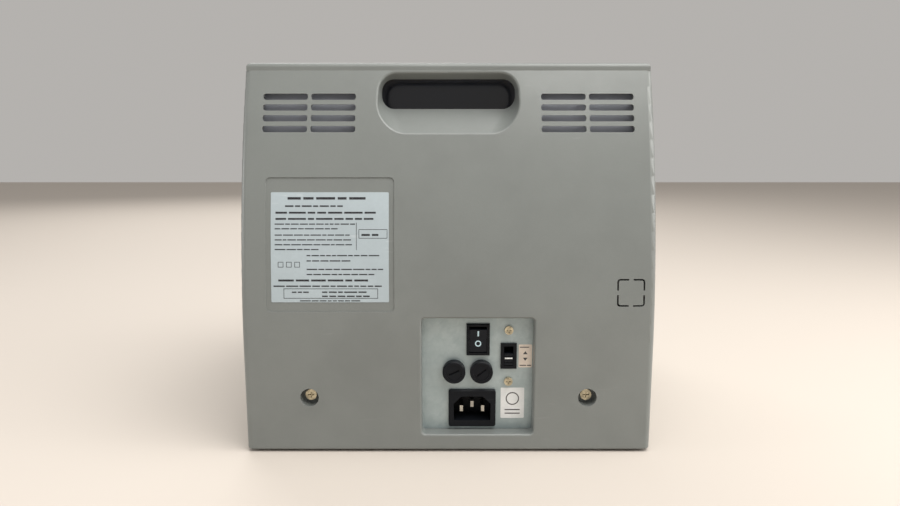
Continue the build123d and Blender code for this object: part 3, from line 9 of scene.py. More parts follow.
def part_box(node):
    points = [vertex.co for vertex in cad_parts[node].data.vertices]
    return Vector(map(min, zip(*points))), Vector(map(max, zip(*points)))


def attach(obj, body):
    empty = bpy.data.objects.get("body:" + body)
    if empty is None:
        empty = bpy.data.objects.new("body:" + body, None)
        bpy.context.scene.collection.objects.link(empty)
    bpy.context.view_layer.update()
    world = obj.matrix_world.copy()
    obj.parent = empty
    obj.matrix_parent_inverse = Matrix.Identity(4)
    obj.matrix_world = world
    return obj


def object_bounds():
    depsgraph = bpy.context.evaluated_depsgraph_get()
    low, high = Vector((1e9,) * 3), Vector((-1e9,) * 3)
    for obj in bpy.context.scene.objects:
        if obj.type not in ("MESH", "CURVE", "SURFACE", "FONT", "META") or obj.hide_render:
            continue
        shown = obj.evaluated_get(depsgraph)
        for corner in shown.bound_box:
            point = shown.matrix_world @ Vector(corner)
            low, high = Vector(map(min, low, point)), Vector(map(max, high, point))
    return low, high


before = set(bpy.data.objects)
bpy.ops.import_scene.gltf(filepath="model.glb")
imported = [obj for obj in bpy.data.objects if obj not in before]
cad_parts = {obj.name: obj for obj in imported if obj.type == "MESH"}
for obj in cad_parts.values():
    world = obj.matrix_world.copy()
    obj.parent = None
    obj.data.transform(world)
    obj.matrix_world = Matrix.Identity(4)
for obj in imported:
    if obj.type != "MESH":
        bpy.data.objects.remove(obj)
cad_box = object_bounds()

# ---- Room, camera and lights ----
# The machine stands on a plain pale table and is seen from behind, from just under its top.
# Soft light comes from above and from the camera's side, a little stronger on one hand.
low, high = cad_box
camera_back = 0.4193
camera_height = 0.1984
camera_aside = -0.001
camera_pitch = radians(9.11)
camera_data = bpy.data.cameras.new("camera")
camera_data.sensor_width = 36.0
camera_data.lens = 27.37
camera = bpy.data.objects.new("camera", camera_data)
camera.location = (camera_aside, high.y + camera_back, camera_height)
camera.rotation_euler = (pi / 2 - camera_pitch, 0, pi)
bpy.context.scene.collection.objects.link(camera)
bpy.context.scene.camera = camera
bpy.context.scene.view_settings.view_transform = "Standard"


def make_object(name, bm):
    """Turn a finished bmesh into an object at the origin."""
    bmesh.ops.recalc_face_normals(bm, faces=bm.faces[:])
    mesh = bpy.data.meshes.new(name)
    bm.to_mesh(mesh)
    bm.free()
    made = bpy.data.objects.new(name, mesh)
    bpy.context.scene.collection.objects.link(made)
    return made


def new_material(name):
    """Start a node material and give it with its Principled shader."""
    made = bpy.data.materials.new(name)
    made.use_nodes = True
    return made, made.node_tree.nodes["Principled BSDF"]


def soft_light(name, place, target, size, power, colour):
    """Hang one large square light that faces its target."""
    data = bpy.data.lights.new(name, "AREA")
    data.size = size
    data.energy = power
    data.color = colour
    made = bpy.data.objects.new(name, data)
    made.location = place
    made.rotation_euler = (Vector(target) - Vector(place)).to_track_quat("-Z", "Y").to_euler()
    bpy.context.scene.collection.objects.link(made)


centre = ((low + high) / 2)[:]
soft_light("sky_panel", (-0.35, 0.45, 1.3), centre, 1.1, 21.0, (1.0, 0.99, 0.97))
soft_light("rear_panel", (-1.5, 1.2, 0.9), centre, 0.9, 6.5, (1.0, 0.98, 0.95))
soft_light("left_strip", (1.1, 0.25, 0.35), centre, 0.5, 3.0, (0.97, 0.98, 1.0))
soft_light("right_strip", (-1.1, 0.2, 0.45), centre, 0.5, 5.5, (1.0, 0.99, 0.97))
soft_light("front_panel", (0.5, -1.4, 1.2), centre, 1.4, 16.0, (1.0, 0.99, 0.97))
world = bpy.data.worlds.new("studio")
world.use_nodes = True
world.node_tree.nodes["Background"].inputs["Color"].default_value = (1.0, 0.965, 0.925, 1)
world.node_tree.nodes["Background"].inputs["Strength"].default_value = 0.46
bpy.context.scene.world = world

floor_mesh = bmesh.new()
bmesh.ops.create_grid(floor_mesh, x_segments=1, y_segments=1, size=3.0)
floor = make_object("table_top", floor_mesh)
floor_material, shader = new_material("table_top")
shader.inputs["Base Color"].default_value = (0.56, 0.505, 0.45, 1)
shader.inputs["Roughness"].default_value = 0.75
floor.data.materials.append(floor_material)

# ---- Grey moulded housing ----
# Rear cover, front cover, top cover and lid are moulded in one grey plastic with a fine
# spark-eroded grain, a satin face, paler rubbed edges and a little handling grime.


def group_sockets(tree, inputs, outputs):
    """Declare a node group's named inputs and outputs."""
    for name, kind, value in inputs:
        socket = tree.interface.new_socket(name, in_out="INPUT", socket_type=kind)
        socket.default_value = value
    for name, kind in outputs:
        tree.interface.new_socket(name, in_out="OUTPUT", socket_type=kind)


def link(tree, source, target):
    """Join two sockets."""
    tree.links.new(source, target)


def noise(tree, vector, scale, detail, roughness=0.5):
    """Add a noise texture on a vector and give its value socket."""
    node = tree.nodes.new("ShaderNodeTexNoise")
    node.inputs["Detail"].default_value = detail
    node.inputs["Roughness"].default_value = roughness
    if isinstance(scale, float):
        node.inputs["Scale"].default_value = scale
    else:
        link(tree, scale, node.inputs["Scale"])
    link(tree, vector, node.inputs["Vector"])
    return node.outputs["Fac"]


def maths(tree, operation, first, second):
    """Add a Math node on sockets or plain numbers and give its result."""
    node = tree.nodes.new("ShaderNodeMath")
    node.operation = operation
    for place, value in enumerate((first, second)):
        if isinstance(value, float):
            node.inputs[place].default_value = value
        else:
            link(tree, value, node.inputs[place])
    return node.outputs[0]


def ramp(tree, value, low_end, high_end):
    """Stretch a value so that low_end becomes 0 and high_end becomes 1."""
    node = tree.nodes.new("ShaderNodeMapRange")
    node.interpolation_type = "SMOOTHSTEP"
    node.inputs["From Min"].default_value = low_end
    node.inputs["From Max"].default_value = high_end
    link(tree, value, node.inputs["Value"])
    return node.outputs["Result"]


def mix_colour(tree, mask, under, over):
    """Mix two colours, sockets or plain tuples, by a mask."""
    node = tree.nodes.new("ShaderNodeMix")
    node.data_type = "RGBA"
    if isinstance(mask, float):
        node.inputs[0].default_value = mask
    else:
        link(tree, mask, node.inputs[0])
    for socket, value in ((node.inputs[6], under), (node.inputs[7], over)):
        if isinstance(value, tuple):
            socket.default_value = (*value, 1)
        else:
            link(tree, value, socket)
    return node.outputs[2]


def build_wear_group():
    """Rubbed edges and slow stains, shared by the moulded, painted and plated parts."""
    tree = bpy.data.node_groups.new("wear", "ShaderNodeTree")
    group_sockets(
        tree,
        [("Edge Width", "NodeSocketFloat", 0.0008), ("Stain Scale", "NodeSocketFloat", 14.0)],
        [("Edge", "NodeSocketFloat"), ("Stain", "NodeSocketFloat"), ("Scuff", "NodeSocketFloat")],
    )
    inside = tree.nodes.new("NodeGroupInput")
    outside = tree.nodes.new("NodeGroupOutput")
    place = tree.nodes.new("ShaderNodeTexCoord").outputs["Object"]
    bevel = tree.nodes.new("ShaderNodeBevel")
    bevel.samples = 4
    link(tree, inside.outputs["Edge Width"], bevel.inputs["Radius"])
    geometry = tree.nodes.new("ShaderNodeNewGeometry")
    dot = tree.nodes.new("ShaderNodeVectorMath")
    dot.operation = "DOT_PRODUCT"
    link(tree, bevel.outputs["Normal"], dot.inputs[0])
    link(tree, geometry.outputs["Normal"], dot.inputs[1])
    bare = maths(tree, "SUBTRACT", 1.0, dot.outputs["Value"])
    chipped = maths(tree, "MULTIPLY", ramp(tree, bare, 0.04, 0.3),
                    ramp(tree, noise(tree, place, 160.0, 4.0), 0.35, 0.65))
    link(tree, chipped, outside.inputs["Edge"])
    stain = noise(tree, place, inside.outputs["Stain Scale"], 5.0, 0.6)
    link(tree, ramp(tree, stain, 0.35, 0.7), outside.inputs["Stain"])
    # Fine scuffs are stretched noise with only its peaks kept.
    stretch = tree.nodes.new("ShaderNodeMapping")
    stretch.inputs["Scale"].default_value = (60.0, 60.0, 420.0)
    stretch.inputs["Rotation"].default_value = (0.3, 0.5, 0.2)
    link(tree, place, stretch.inputs["Vector"])
    streaks = noise(tree, stretch.outputs["Vector"], 1.0, 3.0)
    patch = ramp(tree, noise(tree, place, 22.0, 2.0), 0.5, 0.7)
    scuff = maths(tree, "MULTIPLY", ramp(tree, streaks, 0.62, 0.75), patch)
    link(tree, scuff, outside.inputs["Scuff"])
    return tree


def build_grain_group():
    """A moulded or cast grain: its height for a Bump node, and a speckle mask."""
    tree = bpy.data.node_groups.new("grain", "ShaderNodeTree")
    group_sockets(
        tree,
        [("Scale", "NodeSocketFloat", 1400.0)],
        [("Height", "NodeSocketFloat"), ("Speckle", "NodeSocketFloat")],
    )
    inside = tree.nodes.new("NodeGroupInput")
    outside = tree.nodes.new("NodeGroupOutput")
    place = tree.nodes.new("ShaderNodeTexCoord").outputs["Object"]
    fine = noise(tree, place, inside.outputs["Scale"], 2.0)
    cells = tree.nodes.new("ShaderNodeTexVoronoi")
    link(tree, place, cells.inputs["Vector"])
    link(tree, inside.outputs["Scale"], cells.inputs["Scale"])
    height = maths(tree, "ADD", fine, maths(tree, "MULTIPLY", cells.outputs["Distance"], 0.5))
    link(tree, height, outside.inputs["Height"])
    link(tree, ramp(tree, fine, 0.4, 0.6), outside.inputs["Speckle"])
    return tree


wear_group = build_wear_group()
grain_group = build_grain_group()


def use_group(tree, group, **values):
    """Place a shared node group with this material's own values."""
    node = tree.nodes.new("ShaderNodeGroup")
    node.node_tree = group
    for name, value in values.items():
        node.inputs[name.replace("_", " ")].default_value = value
    return node


def grained(name, colour, pale, rough, grain_scale, grain_depth, edge_width=0.0008, metal=0.0,
            stain_tint=0.9, stain_scale=14.0, coat=0.0, sheen=0.5):
    """Make a grained, slightly worn finish, plastic at metal 0 and plated or bare at metal 1."""
    material, shader = new_material(name)
    tree = material.node_tree
    wear = use_group(tree, wear_group, Edge_Width=edge_width, Stain_Scale=stain_scale)
    grain = use_group(tree, grain_group, Scale=grain_scale)
    darker = tuple(value * stain_tint for value in colour)
    speckled = mix_colour(tree, maths(tree, "MULTIPLY", grain.outputs["Speckle"], 0.25),
                          colour, tuple(value * 1.12 for value in colour))
    stained = mix_colour(tree, wear.outputs["Stain"], speckled, darker)
    scuffed = mix_colour(tree, maths(tree, "MULTIPLY", wear.outputs["Scuff"], 0.25), stained, pale)
    edged = mix_colour(tree, maths(tree, "MULTIPLY", wear.outputs["Edge"], 0.55), scuffed, pale)
    link(tree, edged, shader.inputs["Base Color"])
    roughness = maths(tree, "ADD", rough, maths(tree, "MULTIPLY", wear.outputs["Stain"], 0.1))
    edge_shine = maths(tree, "MULTIPLY", wear.outputs["Edge"], 0.12)
    rubbed = maths(tree, "SUBTRACT", roughness, edge_shine)
    link(tree, rubbed, shader.inputs["Roughness"])
    shader.inputs["Metallic"].default_value = metal
    shader.inputs["Coat Weight"].default_value = coat
    shader.inputs["Specular IOR Level"].default_value = sheen
    bump = tree.nodes.new("ShaderNodeBump")
    bump.inputs["Distance"].default_value = grain_depth
    bump.inputs["Strength"].default_value = 0.6
    link(tree, grain.outputs["Height"], bump.inputs["Height"])
    link(tree, bump.outputs["Normal"], shader.inputs["Normal"])
    return material


def dress(material, *names):
    """Give CAD nodes a finish."""
    for name in names:
        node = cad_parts[name]
        if not node.material_slots:
            node.data.materials.append(material)
        for place in node.material_slots:
            place.material = material


housing_grey = (0.190, 0.203, 0.194)
housing_finish = grained("housing_grey", housing_grey, (0.30, 0.31, 0.30), 0.30, 1500.0, 0.00003)
dress(housing_finish, "rear_cover", "front_cover", "top_cover", "access_lid")

# ---- Carrying-handle pocket liner ----
# A separate glossy blue-black moulded cup clipped behind the grey recess.
# Fingers polish it, so it is smooth with faint wipe marks.


def polished(name, colour, rough, smear, coat=0.3, sheen=0.5):
    """Make a smooth moulded finish with faint wipe marks in its gloss."""
    material, shader = new_material(name)
    tree = material.node_tree
    shader.inputs["Base Color"].default_value = (*colour, 1)
    shader.inputs["Coat Weight"].default_value = coat
    shader.inputs["Coat Roughness"].default_value = 0.12
    shader.inputs["Specular IOR Level"].default_value = sheen
    wear = use_group(tree, wear_group, Edge_Width=0.0005, Stain_Scale=60.0)
    marks = maths(tree, "ADD", wear.outputs["Stain"], wear.outputs["Scuff"])
    link(tree, maths(tree, "ADD", rough, maths(tree, "MULTIPLY", marks, smear)),
         shader.inputs["Roughness"])
    worn = mix_colour(tree, maths(tree, "MULTIPLY", wear.outputs["Edge"], 0.35), colour,
                      tuple(min(1.0, value * 1.8 + 0.03) for value in colour))
    link(tree, worn, shader.inputs["Base Color"])
    return material


liner_black = polished("liner_black", (0.006, 0.010, 0.022), 0.14, 0.05, 0.3, 0.5)
dress(liner_black, "handle_pocket")

# ---- Blue-grey steel strip behind the vents ----
# A painted strip of chassis steel shows between the vent slots.
# The paint is flat and slightly dusty.
blue_steel = grained("blue_steel", (0.40, 0.42, 0.48), (0.50, 0.52, 0.56), 0.5, 900.0, 0.00003)
dress(blue_steel, "vent_baffle")

# ---- Zinc-plated connector panel and chassis sheet ----
# Bright zinc plate has a mottled, spangled look with dull patches and fine rub marks.
# The panel, side plates and base plate are all pressed from it.


def zinc_plate(name, colour, dull, rough, spangle, metal=0.85):
    """Make mottled zinc plate with soft spangles."""
    material, shader = new_material(name)
    tree = material.node_tree
    place = tree.nodes.new("ShaderNodeTexCoord").outputs["Object"]
    crystals = tree.nodes.new("ShaderNodeTexVoronoi")
    crystals.inputs["Scale"].default_value = spangle
    warped = tree.nodes.new("ShaderNodeVectorMath")
    warped.operation = "MULTIPLY_ADD"
    cloud = tree.nodes.new("ShaderNodeTexNoise")
    cloud.inputs["Scale"].default_value = 90.0
    link(tree, place, cloud.inputs["Vector"])
    link(tree, cloud.outputs["Color"], warped.inputs[0])
    warped.inputs[1].default_value = (0.01, 0.01, 0.01)
    link(tree, place, warped.inputs[2])
    link(tree, warped.outputs[0], crystals.inputs["Vector"])
    grey = tree.nodes.new("ShaderNodeRGBToBW")
    link(tree, crystals.outputs["Color"], grey.inputs[0])
    blotch = ramp(tree, noise(tree, place, 120.0, 5.0, 0.65), 0.38, 0.62)
    mottle = maths(tree, "ADD", maths(tree, "MULTIPLY", grey.outputs[0], 0.45),
                   maths(tree, "MULTIPLY", blotch, 0.55))
    wear = use_group(tree, wear_group, Edge_Width=0.0005, Stain_Scale=26.0)
    base = mix_colour(tree, mottle, dull, colour)
    grimed = mix_colour(tree, maths(tree, "MULTIPLY", wear.outputs["Stain"], 0.35), base,
                        tuple(value * 0.72 for value in dull))
    link(tree, grimed, shader.inputs["Base Color"])
    shine = maths(tree, "ADD", rough, maths(tree, "MULTIPLY", mottle, 0.16))
    link(tree, shine, shader.inputs["Roughness"])
    shader.inputs["Metallic"].default_value = metal
    bump = tree.nodes.new("ShaderNodeBump")
    bump.inputs["Distance"].default_value = 0.00002
    bump.inputs["Strength"].default_value = 0.5
    link(tree, mottle, bump.inputs["Height"])
    link(tree, bump.outputs["Normal"], shader.inputs["Normal"])
    return material


zinc_sheet = zinc_plate("zinc_sheet", (0.45, 0.515, 0.515), (0.345, 0.41, 0.42), 0.36, 260.0, 0.5)
dress(zinc_sheet, "inlet_panel", "base_plate", "side_plates")

# ---- Panel and cover screws ----
# Yellow-passivated pan heads on the panel and plain zinc heads down the cover bosses, both given
# the one yellow zinc finish here.
# The driver marks are cut in the CAD; the finish is a worn plated steel.
yellow_zinc = grained("yellow_zinc", (0.56, 0.50, 0.36), (0.85, 0.80, 0.66), 0.24, 2600.0, 0.00001,
                      0.0003, 1.0, 0.55, 400.0)
dress(yellow_zinc, "panel_screws", "cover_screws")

# ---- Mains inlet, switch housing, fuse holders and selector housing ----
# These bought-in parts are moulded in a fine-grained black thermoplastic.
# Their faces are satin with a little grey dust.
socket_black = grained("socket_black", (0.005, 0.006, 0.008), (0.05, 0.05, 0.055), 0.38, 3200.0,
                       0.00002, 0.0004, 0.0, 1.3, 40.0, 0.0, 0.15)
dress(socket_black, "inlet_body", "switch_body", "fuse_holders", "selector_body",
      "fuse_cap_left", "fuse_cap_right")
rocker_black = polished("rocker_black", (0.004, 0.006, 0.010), 0.24, 0.14, 0.0, 0.22)
dress(rocker_black, "power_rocker", "voltage_slider")
blade_metal = grained("blade_metal", (0.50, 0.48, 0.43), (0.92, 0.90, 0.84), 0.22, 1800.0, 0.00001,
                      0.0002, 1.0, 0.8, 150.0)
dress(blade_metal, "inlet_pins")

# ---- Rating label ----
# A pale blue-white foil label fills its shallow recess below the left vents.
# Its print is generic: rows of plain bars, ruled boxes and three plain squares.
label_foil = grained("label_foil", (0.41, 0.475, 0.505), (0.7, 0.72, 0.73), 0.42, 500.0, 0.00001,
                     0.0003, 0.0, 0.93, 18.0, 0.25)
dress(label_foil, "rating_label")


def ink(name, colour, rough=0.5, glow=0.0):
    """Make a printed ink with slightly uneven cover; glow makes it emit its own colour, a lamp for
    display segments and a painted glow on printed marks.
    """
    material, shader = new_material(name)
    tree = material.node_tree
    place = tree.nodes.new("ShaderNodeTexCoord").outputs["Object"]
    patchy = ramp(tree, noise(tree, place, 900.0, 2.0), 0.45, 0.8)
    paler = tuple(min(1.0, value + 0.05) for value in colour)
    link(tree, mix_colour(tree, patchy, colour, paler), shader.inputs["Base Color"])
    link(tree, maths(tree, "ADD", rough, maths(tree, "MULTIPLY", patchy, 0.2)),
         shader.inputs["Roughness"])
    shader.inputs["Emission Color"].default_value = (*colour, 1)
    shader.inputs["Emission Strength"].default_value = glow
    return material


def surface_of(node, start=(0, 1, 0)):
    """Give a function that finds the surface point of a CAD node seen along Y at x and z."""
    mesh = bmesh.new()
    mesh.from_mesh(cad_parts[node].data)
    tree = BVHTree.FromBMesh(mesh)
    mesh.free()
    side = start[1]

    def find(x, z):
        hit = tree.ray_cast(Vector((x, side, z)), Vector((0, -side, 0)))[0]
        return hit.y if hit else None

    return find


def stamp(bm, find, corners):
    """Lay one flat mark on a surface, given its corners in order as x, z."""
    depths = [find(x, z) for x, z in corners]
    if None not in depths:
        bm.faces.new([bm.verts.new((x, y, z)) for (x, z), y in zip(corners, depths)])


def bar(bm, find, x0, z0, x1, z1):
    """Lay one rectangular mark, in short lengths so that it follows a curve in height."""
    lengths = max(1, round(abs(z1 - z0) / 0.0012))
    for place in range(lengths):
        foot = z0 + (z1 - z0) * place / lengths
        top = z0 + (z1 - z0) * (place + 1) / lengths
        stamp(bm, find, [(x0, foot), (x1, foot), (x1, top), (x0, top)])


def ring(bm, find, x, z, outer, inner, parts=28):
    """Lay one round line."""
    for place in range(parts):
        a = 2 * pi * place / parts
        b = 2 * pi * (place + 1) / parts
        stamp(bm, find, [(x + outer * cos(a), z + outer * sin(a)),
                         (x + outer * cos(b), z + outer * sin(b)),
                         (x + inner * cos(b), z + inner * sin(b)),
                         (x + inner * cos(a), z + inner * sin(a))])


def finish_print(name, bm, material, body, thickness=0.00006):
    """Thicken the marks along Y, from just under the surface, and fix them to a body."""
    sunk = bm.verts[:]
    bmesh.ops.translate(bm, vec=(0, -thickness / 2, 0), verts=sunk)
    grown = bmesh.ops.extrude_face_region(bm, geom=bm.faces[:], use_keep_orig=True)
    bmesh.ops.translate(bm, vec=(0, 1.5 * thickness, 0),
                        verts=[v for v in grown["geom"] if isinstance(v, bmesh.types.BMVert)])
    made = make_object(name, bm)
    made.data.materials.append(material)
    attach(made, body)


def word_row(bm, find, left, right, z, height, dice):
    """Fill a row, running towards -X, with plain bars as long as words and gaps between."""
    x = left
    while x - 2 * height > right:
        end = max(right, x - dice.uniform(1.6, 5.2) * height)
        bar(bm, find, x, z, end, z + 0.5 * height)
        x = end - 0.55 * height


label_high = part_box("rating_label")[1]
label_left = label_high.x
label_top = label_high.z
on_label = surface_of("rating_label")
label_print = bmesh.new()
dice = random.Random(7)
# Rows in millimetres from the label's top left: start, end, baseline and height.
for start, end, down, height in [
    (10.5, 59.5, 4.5, 3.0), (9, 46, 9.0, 1.8), (3, 66, 13.2, 2.3), (3, 70, 17.0, 2.2),
    (2.5, 53, 20.0, 1.3), (2.5, 42, 22.9, 1.3), (2.5, 50, 26.8, 1.3), (2.5, 52, 29.8, 1.3),
    (2.5, 51, 32.8, 1.3), (2.5, 30, 35.8, 1.3), (22.5, 71, 39.6, 1.4), (22.5, 50, 42.9, 1.4),
    (22.5, 71, 48.2, 1.4), (22.5, 65, 51.4, 1.4), (4.5, 61, 55.4, 2.4), (1.5, 72.5, 58.8, 1.6),
    (13, 27, 62.6, 1.6), (32, 60, 62.6, 1.7), (32, 62, 65.2, 1.7), (18, 56, 68.0, 1.3),
    (57, 72, 27.0, 2.4),
]:
    word_row(label_print, on_label, label_left - start / 1000, label_left - end / 1000,
             label_top - down / 1000, height / 1000, dice)
# Ruled lines and the sides of boxes: left, right, down from the top, and how tall.
rule = 0.3
ruled = [(53.6, 53.6 + rule, 35.8, 17.0)]
for start, end, down, tall in [(55.2, 73.2, 28.6, 5.7), (7.8, 67.2, 66.2, 6.3),
                               (4.4, 7.8, 46.6, 3.4), (9.6, 13.0, 46.6, 3.4),
                               (14.8, 18.2, 46.6, 3.4)]:
    ruled += [(start, end, down, rule), (start, end, down - tall + rule, rule),
              (start, start + rule, down, tall), (end - rule, end, down, tall)]
for start, end, down, tall in ruled:
    bar(label_print, on_label, label_left - start / 1000, label_top - down / 1000,
        label_left - end / 1000, label_top - (down - tall) / 1000)
finish_print("label_print", label_print, ink("label_ink", (0.014, 0.014, 0.018), 0.45), "chassis")

# ---- Switch marks ----
# The power rocker carries a moulded-in stroke and ring, pad-printed in pale paint; the paint is
# given a faint painted glow that brightens the marks.
# They sit on its two sloping halves and tip with it.
rocker_low, rocker_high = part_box("power_rocker")
rocker_x = (rocker_low.x + rocker_high.x) / 2
rocker_z = (rocker_low.z + rocker_high.z) / 2
on_rocker = surface_of("power_rocker")
rocker_print = bmesh.new()
bar(rocker_print, on_rocker, rocker_x + 0.0005, rocker_z + 0.0028, rocker_x - 0.0005,
    rocker_z + 0.0066)
ring(rocker_print, on_rocker, rocker_x, rocker_z - 0.0023, 0.00205, 0.0013)
# The rocker paint's 0.05 glow is a painted highlight: the printed marks emit a little of their own
# colour.
finish_print("rocker_marks", rocker_print, ink("rocker_paint_painted_glow", (0.50, 0.66, 0.72), 0.4, 0.05),
             "power_rocker")

# ---- Voltage slider line ----
# A white line is pressed across the slider's face to show its setting.
# It travels with the slider.
slider_low, slider_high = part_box("voltage_slider")
slider_x = (slider_low.x + slider_high.x) / 2
slider_z = (slider_low.z + slider_high.z) / 2
slider_print = bmesh.new()


def on_crest(x, z):
    """Give the level of the slider's rib crests."""
    return slider_high.y


bar(slider_print, on_crest, slider_x + 0.0025, slider_z + 0.0004, slider_x - 0.0025,
    slider_z + 0.0013)
finish_print("slider_line", slider_print, ink("slider_paint", (0.72, 0.73, 0.72), 0.5),
             "voltage_slider", 0.0002)

# ---- Connector panel stickers ----
# Two small vinyl stickers: a cream one with an up and a down arrow beside the selector,
# and a white one with a plain ring above two lines. Their print is generic.
panel_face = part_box("inlet_panel")[1].y
sticker_thickness = 0.00012


def on_panel(x, z):
    """Give the panel's face."""
    return panel_face


def on_sticker(x, z):
    """Give the face of the stickers."""
    return panel_face + sticker_thickness


def sticker_sheet(name, material, x, z, width, height, corner=0.0006):
    """Cut a thin sheet with rounded corners and lay it on the panel."""
    sheet = bmesh.new()
    outline = []
    for step in range(24):
        angle = 2 * pi * (step + 0.5) / 24
        outline.append((x + (width / 2 - corner) * (1 if cos(angle) > 0 else -1)
                        + corner * cos(angle),
                        z + (height / 2 - corner) * (1 if sin(angle) > 0 else -1)
                        + corner * sin(angle)))
    stamp(sheet, on_panel, outline)
    finish_print(name, sheet, material, "chassis", sticker_thickness)


cream_x, cream_z = -0.0500, 0.0617
cream_wide, cream_tall = 0.0087, 0.0155
arrow_half, arrow_tall, arrow_gap = 0.0015, 0.0020, 0.0012
cream_vinyl = grained("cream_vinyl", (0.80, 0.70, 0.60), (0.85, 0.8, 0.74), 0.45, 700.0, 0.00001,
                      0.0002, 0.0, 0.9, 90.0)
white_vinyl = grained("white_vinyl", (0.78, 0.79, 0.78), (0.85, 0.85, 0.85), 0.4, 700.0, 0.00001,
                      0.0002, 0.0, 0.9, 90.0)
sticker_sheet("arrow_sticker", cream_vinyl, cream_x, cream_z, cream_wide, cream_tall)
arrow_print = bmesh.new()
for turn in (1, -1):
    base = cream_z + turn * arrow_gap
    stamp(arrow_print, on_sticker, [(cream_x + arrow_half, base), (cream_x - arrow_half, base),
                                    (cream_x, base + turn * arrow_tall)])
for rise in (0.0056, -0.0066):
    word_row(arrow_print, on_sticker, cream_x + 0.0036, cream_x - 0.0038, cream_z + rise, 0.0012,
             dice)
sticker_ink = ink("sticker_ink", (0.05, 0.045, 0.045), 0.5)
finish_print("arrow_marks", arrow_print, sticker_ink, "chassis")

white_x, white_z = -0.0420, 0.0297
white_wide, white_tall = 0.0155, 0.0209
ring_rise, ring_outer, ring_inner = 0.0030, 0.0044, 0.0037
line_half, line_tall = 0.0050, 0.0007
sticker_sheet("ring_sticker", white_vinyl, white_x, white_z, white_wide, white_tall)
ring_print = bmesh.new()
ring(ring_print, on_sticker, white_x, white_z + ring_rise, ring_outer, ring_inner)
for down in (0.0050, 0.0075):
    bar(ring_print, on_sticker, white_x + line_half, white_z - down, white_x - line_half,
        white_z - down + line_tall)
finish_print("ring_marks", ring_print, sticker_ink, "chassis")

# ---- Keys and display on the operator's side ----
# Four pale keys stand in the sloping panel beside a smoked window with red digits.
# The key marks are plain shapes; the digits are lit segments under the window's face.
key_finish = grained("key_grey", (0.47, 0.48, 0.46), (0.62, 0.62, 0.6), 0.42, 2200.0, 0.00002,
                     0.0004, 0.0, 0.86, 70.0)
dress(key_finish, "key_start", "key_clear", "key_batch", "key_mode")
window_smoke = polished("window_smoke", (0.020, 0.006, 0.007), 0.08, 0.08, 0.6)
dress(window_smoke, "display_window")
key_ink = ink("key_ink", (0.03, 0.05, 0.09), 0.5)


def key_shape(kind, x, z):
    """Give a key mark's flat pieces as corner lists around a centre."""
    if kind == "start":
        return [[(x - 0.0018, z - 0.002), (x - 0.0018, z + 0.002), (x + 0.0022, z)]]
    if kind == "clear":
        return [[(x - 0.002, z - 0.0016), (x - 0.002, z + 0.0016), (x - 0.0014, z + 0.0016),
                 (x - 0.0014, z - 0.0016)],
                [(x - 0.001, z), (x + 0.0006, z + 0.0015), (x + 0.0006, z - 0.0015)],
                [(x + 0.0006, z - 0.0006), (x + 0.0006, z + 0.0006), (x + 0.002, z + 0.0006),
                 (x + 0.002, z - 0.0006)]]
    if kind == "batch":
        return [[(x - 0.002, z + rise), (x - 0.002, z + rise + 0.0006),
                 (x + 0.002, z + rise + 0.0006), (x + 0.002, z + rise)]
                for rise in (-0.0018, -0.0004, 0.001)]
    return [[(x + 0.0016 * cos(pi * k / 6), z + 0.0016 * sin(pi * k / 6)) for k in range(12)]]


for kind in ("start", "clear", "batch", "mode"):
    key_name = "key_" + kind
    key_low, key_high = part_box(key_name)
    key_print = bmesh.new()
    on_key = surface_of(key_name, (0, -1, 0))
    for corners in key_shape(kind, (key_low.x + key_high.x) / 2, (key_low.z + key_high.z) / 2):
        stamp(key_print, on_key, corners)
    finish_print(key_name + "_mark", key_print, key_ink, key_name, -0.00006)

window_low, window_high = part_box("display_window")
on_window = surface_of("display_window", (0, -1, 0))
half = (window_low.z + window_high.z) / 2
digit_print = bmesh.new()
digit_tall = (window_high.z - window_low.z) * 0.46
digit_wide = digit_tall * 0.62
stem = digit_tall * 0.11
window_centre = (window_low.x + window_high.x) / 2
for place in range(4):
    left = window_centre + (place - 2) * digit_wide * 1.45
    right = left + digit_wide
    foot = half - digit_tall / 2
    top = half + digit_tall / 2
    segments = [(left + stem, foot, right - stem, foot + stem),
                (left + stem, top - stem, right - stem, top),
                (left, foot + stem, left + stem, half - stem / 2),
                (left, half + stem / 2, left + stem, top - stem),
                (right - stem, foot + stem, right, half - stem / 2),
                (right - stem, half + stem / 2, right, top - stem)]
    for x0, z0, x1, z1 in segments:
        bar(digit_print, on_window, x0, z0, x1, z1)
finish_print("display_digits", digit_print, ink("display_red", (0.75, 0.03, 0.015), 0.3, 0.6),
             "chassis", -0.00006)

# ---- Hopper, guides and stacker ----
# The hopper and note guide are black-painted steel, rubbed brighter where notes slide.
# Guides and tray are charcoal mouldings with a light grain.
hopper_paint = grained("hopper_paint", (0.045, 0.047, 0.052), (0.30, 0.31, 0.32), 0.42, 1100.0,
                       0.00003, 0.0008, 0.0, 1.25, 16.0)
dress(hopper_paint, "hopper_plate", "note_guide")
charcoal = grained("charcoal_plastic", (0.05, 0.051, 0.056), (0.16, 0.165, 0.17), 0.5, 1700.0,
                   0.00004, 0.0006, 0.0, 1.25, 18.0)
dress(charcoal, "hopper_guide_left", "hopper_guide_right", "stacker_tray")
knob_finish = grained("knob_plastic", (0.028, 0.028, 0.032), (0.12, 0.12, 0.125), 0.45, 1900.0,
                      0.00003, 0.0004, 0.0, 1.3, 40.0)
dress(knob_finish, "gap_knob")

